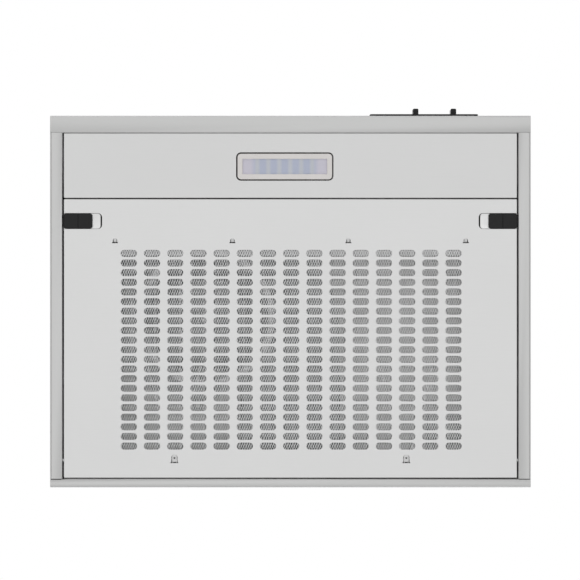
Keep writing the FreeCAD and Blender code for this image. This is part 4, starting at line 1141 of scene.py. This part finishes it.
def blade(index):
    outline = []
    for inset, shares in ((0.0, range(0, 9)), (blade_thickness, range(8, -1, -1))):
        for k in shares:
            share = k / 8
            radius = blade_inner + (blade_outer - blade_inner) * share
            lag = blade_sweep * (1 - share) + 4 * blade_bow * share * (1 - share)
            turn = math.radians(360.0 * index / blade_count - lag) + inset / radius
            outline.append((wheel_x + radius * math.cos(turn), wheel_y + radius * math.sin(turn)))
    return loft([at_height(outline, blades_low.z), at_height(outline, blades_high.z)])


new_piece("curved_blades", *join_parts([blade(i) for i in range(blade_count)]), "wheel",
          SLOT_OF["wheel_blades"], ["wheel_blades"])
print("blades:", blade_count)

# %% Turned collar
collar_low, collar_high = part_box("duct_collar")
collar_y = (collar_low.y + collar_high.y) / 2
collar_radius = 60.0 * MM
collar_wall = 1.5 * MM
flange_half = collar_high.x
flange_corner = 6.0 * MM
flange_thickness = 1.2 * MM
bore_radius = collar_radius - collar_wall
edge = 0.35 * MM
tube_z = collar_low.z + flange_thickness / 2
section = [
    (collar_radius, tube_z), (collar_radius, collar_high.z - edge),
    (collar_radius - edge, collar_high.z), (bore_radius + edge, collar_high.z),
    (bore_radius, collar_high.z - edge), (bore_radius, tube_z),
]
tube = turned(section, 0.0, collar_y, sides=96)
collar_tube = new_piece("collar_tube", *tube, "hood", "collar_plastic", ["duct_collar"], smooth=50.0)
plan = rounded_rectangle(-flange_half, flange_half, collar_y - flange_half, collar_y + flange_half,
                         flange_corner)
flange = loft([at_height(plan, collar_low.z), at_height(plan, collar_low.z + flange_thickness)])
bore_plan = circle(0.0, collar_y, bore_radius, 96)
bore = loft([at_height(bore_plan, collar_low.z + level) for level in (-1.0 * MM, 3.0 * MM)])
new_piece("collar_base", *flange, "hood", "collar_plastic", cuts=[[bore]])
stop_half = 6.0 * MM
stop_z = 2.45 * MM
stop_thickness = 2.5 * MM
stops = []
for side in (-1, 1):
    ends = sorted((collar_y + side * (bore_radius - 3.0 * MM), collar_y + side * (bore_radius + 0.5 * MM)))
    plan = rounded_rectangle(-stop_half, stop_half, *ends, 0.6 * MM, 3)
    stops.append(loft([at_height(plan, stop_z), at_height(plan, stop_z + stop_thickness)]))
new_piece("collar_stops", *join_parts(stops), "hood", "collar_plastic")
print("collar:", len(collar_tube.data.polygons), "faces")

# %% [markdown]
# ## Stage
# The hood hangs high over a wide pale floor, under a plain bright surround. The camera, and rays that
# pass through plastic, see the surround white, so the picture's ground is white, and all other rays
# see it a little darker and cooler. One soft lamp lies low and shines up at the underside, which is
# the side that the picture shows, and the others light the front, the back and the top.

# %% Floor and surround
floor_z = -3.2
floor_half = 20.0
corners = [(-floor_half, -floor_half, floor_z), (floor_half, -floor_half, floor_z),
           (floor_half, floor_half, floor_z), (-floor_half, floor_half, floor_z)]
floor_mesh = bpy.data.meshes.new("studio_floor")
floor_mesh.from_pydata(corners, [], [(0, 1, 2, 3)])
studio_floor = bpy.data.objects.new("studio_floor", floor_mesh)
bpy.context.scene.collection.objects.link(studio_floor)
floor_finish, floor_tree, floor_shader = start_finish("pale_floor", (0.86, 0.86, 0.85), 0.6)
floor_tone = between(floor_tree, noise(floor_tree, 1.5), (0.84, 0.84, 0.83), (0.88, 0.88, 0.87))
floor_tree.links.new(floor_tone, floor_shader.inputs["Base Color"])
floor_mesh.materials.append(floor_finish)

world = bpy.data.worlds.new("surround")
bpy.context.scene.world = world
world.use_nodes = True
world_tree = world.node_tree
white = world_tree.nodes["Background"]
white.inputs["Color"].default_value = (1.0, 1.0, 1.0, 1.0)
white.inputs["Strength"].default_value = 1.0
studio = world_tree.nodes.new("ShaderNodeBackground")
studio.inputs["Color"].default_value = (0.98875, 0.9925, 1.0, 1.0)
studio.inputs["Strength"].default_value = 0.80
rays = world_tree.nodes.new("ShaderNodeLightPath")
seen = reckon(world_tree, "MAXIMUM", rays.outputs["Is Camera Ray"], rays.outputs["Is Transmission Ray"])
pick = world_tree.nodes.new("ShaderNodeMixShader")
world_tree.links.new(seen, pick.inputs["Fac"])
world_tree.links.new(studio.outputs["Background"], pick.inputs[1])
world_tree.links.new(white.outputs["Background"], pick.inputs[2])
world_tree.links.new(pick.outputs["Shader"], world_tree.nodes["World Output"].inputs["Surface"])
print("surround:", len(world_tree.nodes), "nodes")


# %% Soft lamps
def soft_lamp(name, location, target, size, power):
    data = bpy.data.lights.new(name, "AREA")
    data.shape = "SQUARE"
    data.size = size
    data.energy = power
    lamp = bpy.data.objects.new(name, data)
    bpy.context.scene.collection.objects.link(lamp)
    lamp.location = location
    lamp.rotation_euler = (Vector(target) - Vector(location)).to_track_quat("-Z", "Y").to_euler()
    lamp.visible_camera = False
    return lamp


soft_lamp("low_lamp", (0.0, -0.35, -3.0), (0.0, -0.05, 0.0), 3.4, 6.0)
soft_lamp("front_lamp", (-0.8, -3.2, 0.6), (0.0, 0.0, -0.05), 3.0, 11.0)
soft_lamp("rear_lamp", (1.6, 2.8, 1.2), (0.0, 0.0, -0.05), 3.0, 8.0)
soft_lamp("top_lamp", (-0.6, 0.3, 3.0), (0.0, 0.0, 0.0), 3.2, 34.0)

scene = bpy.context.scene
scene.view_settings.view_transform = "Standard"
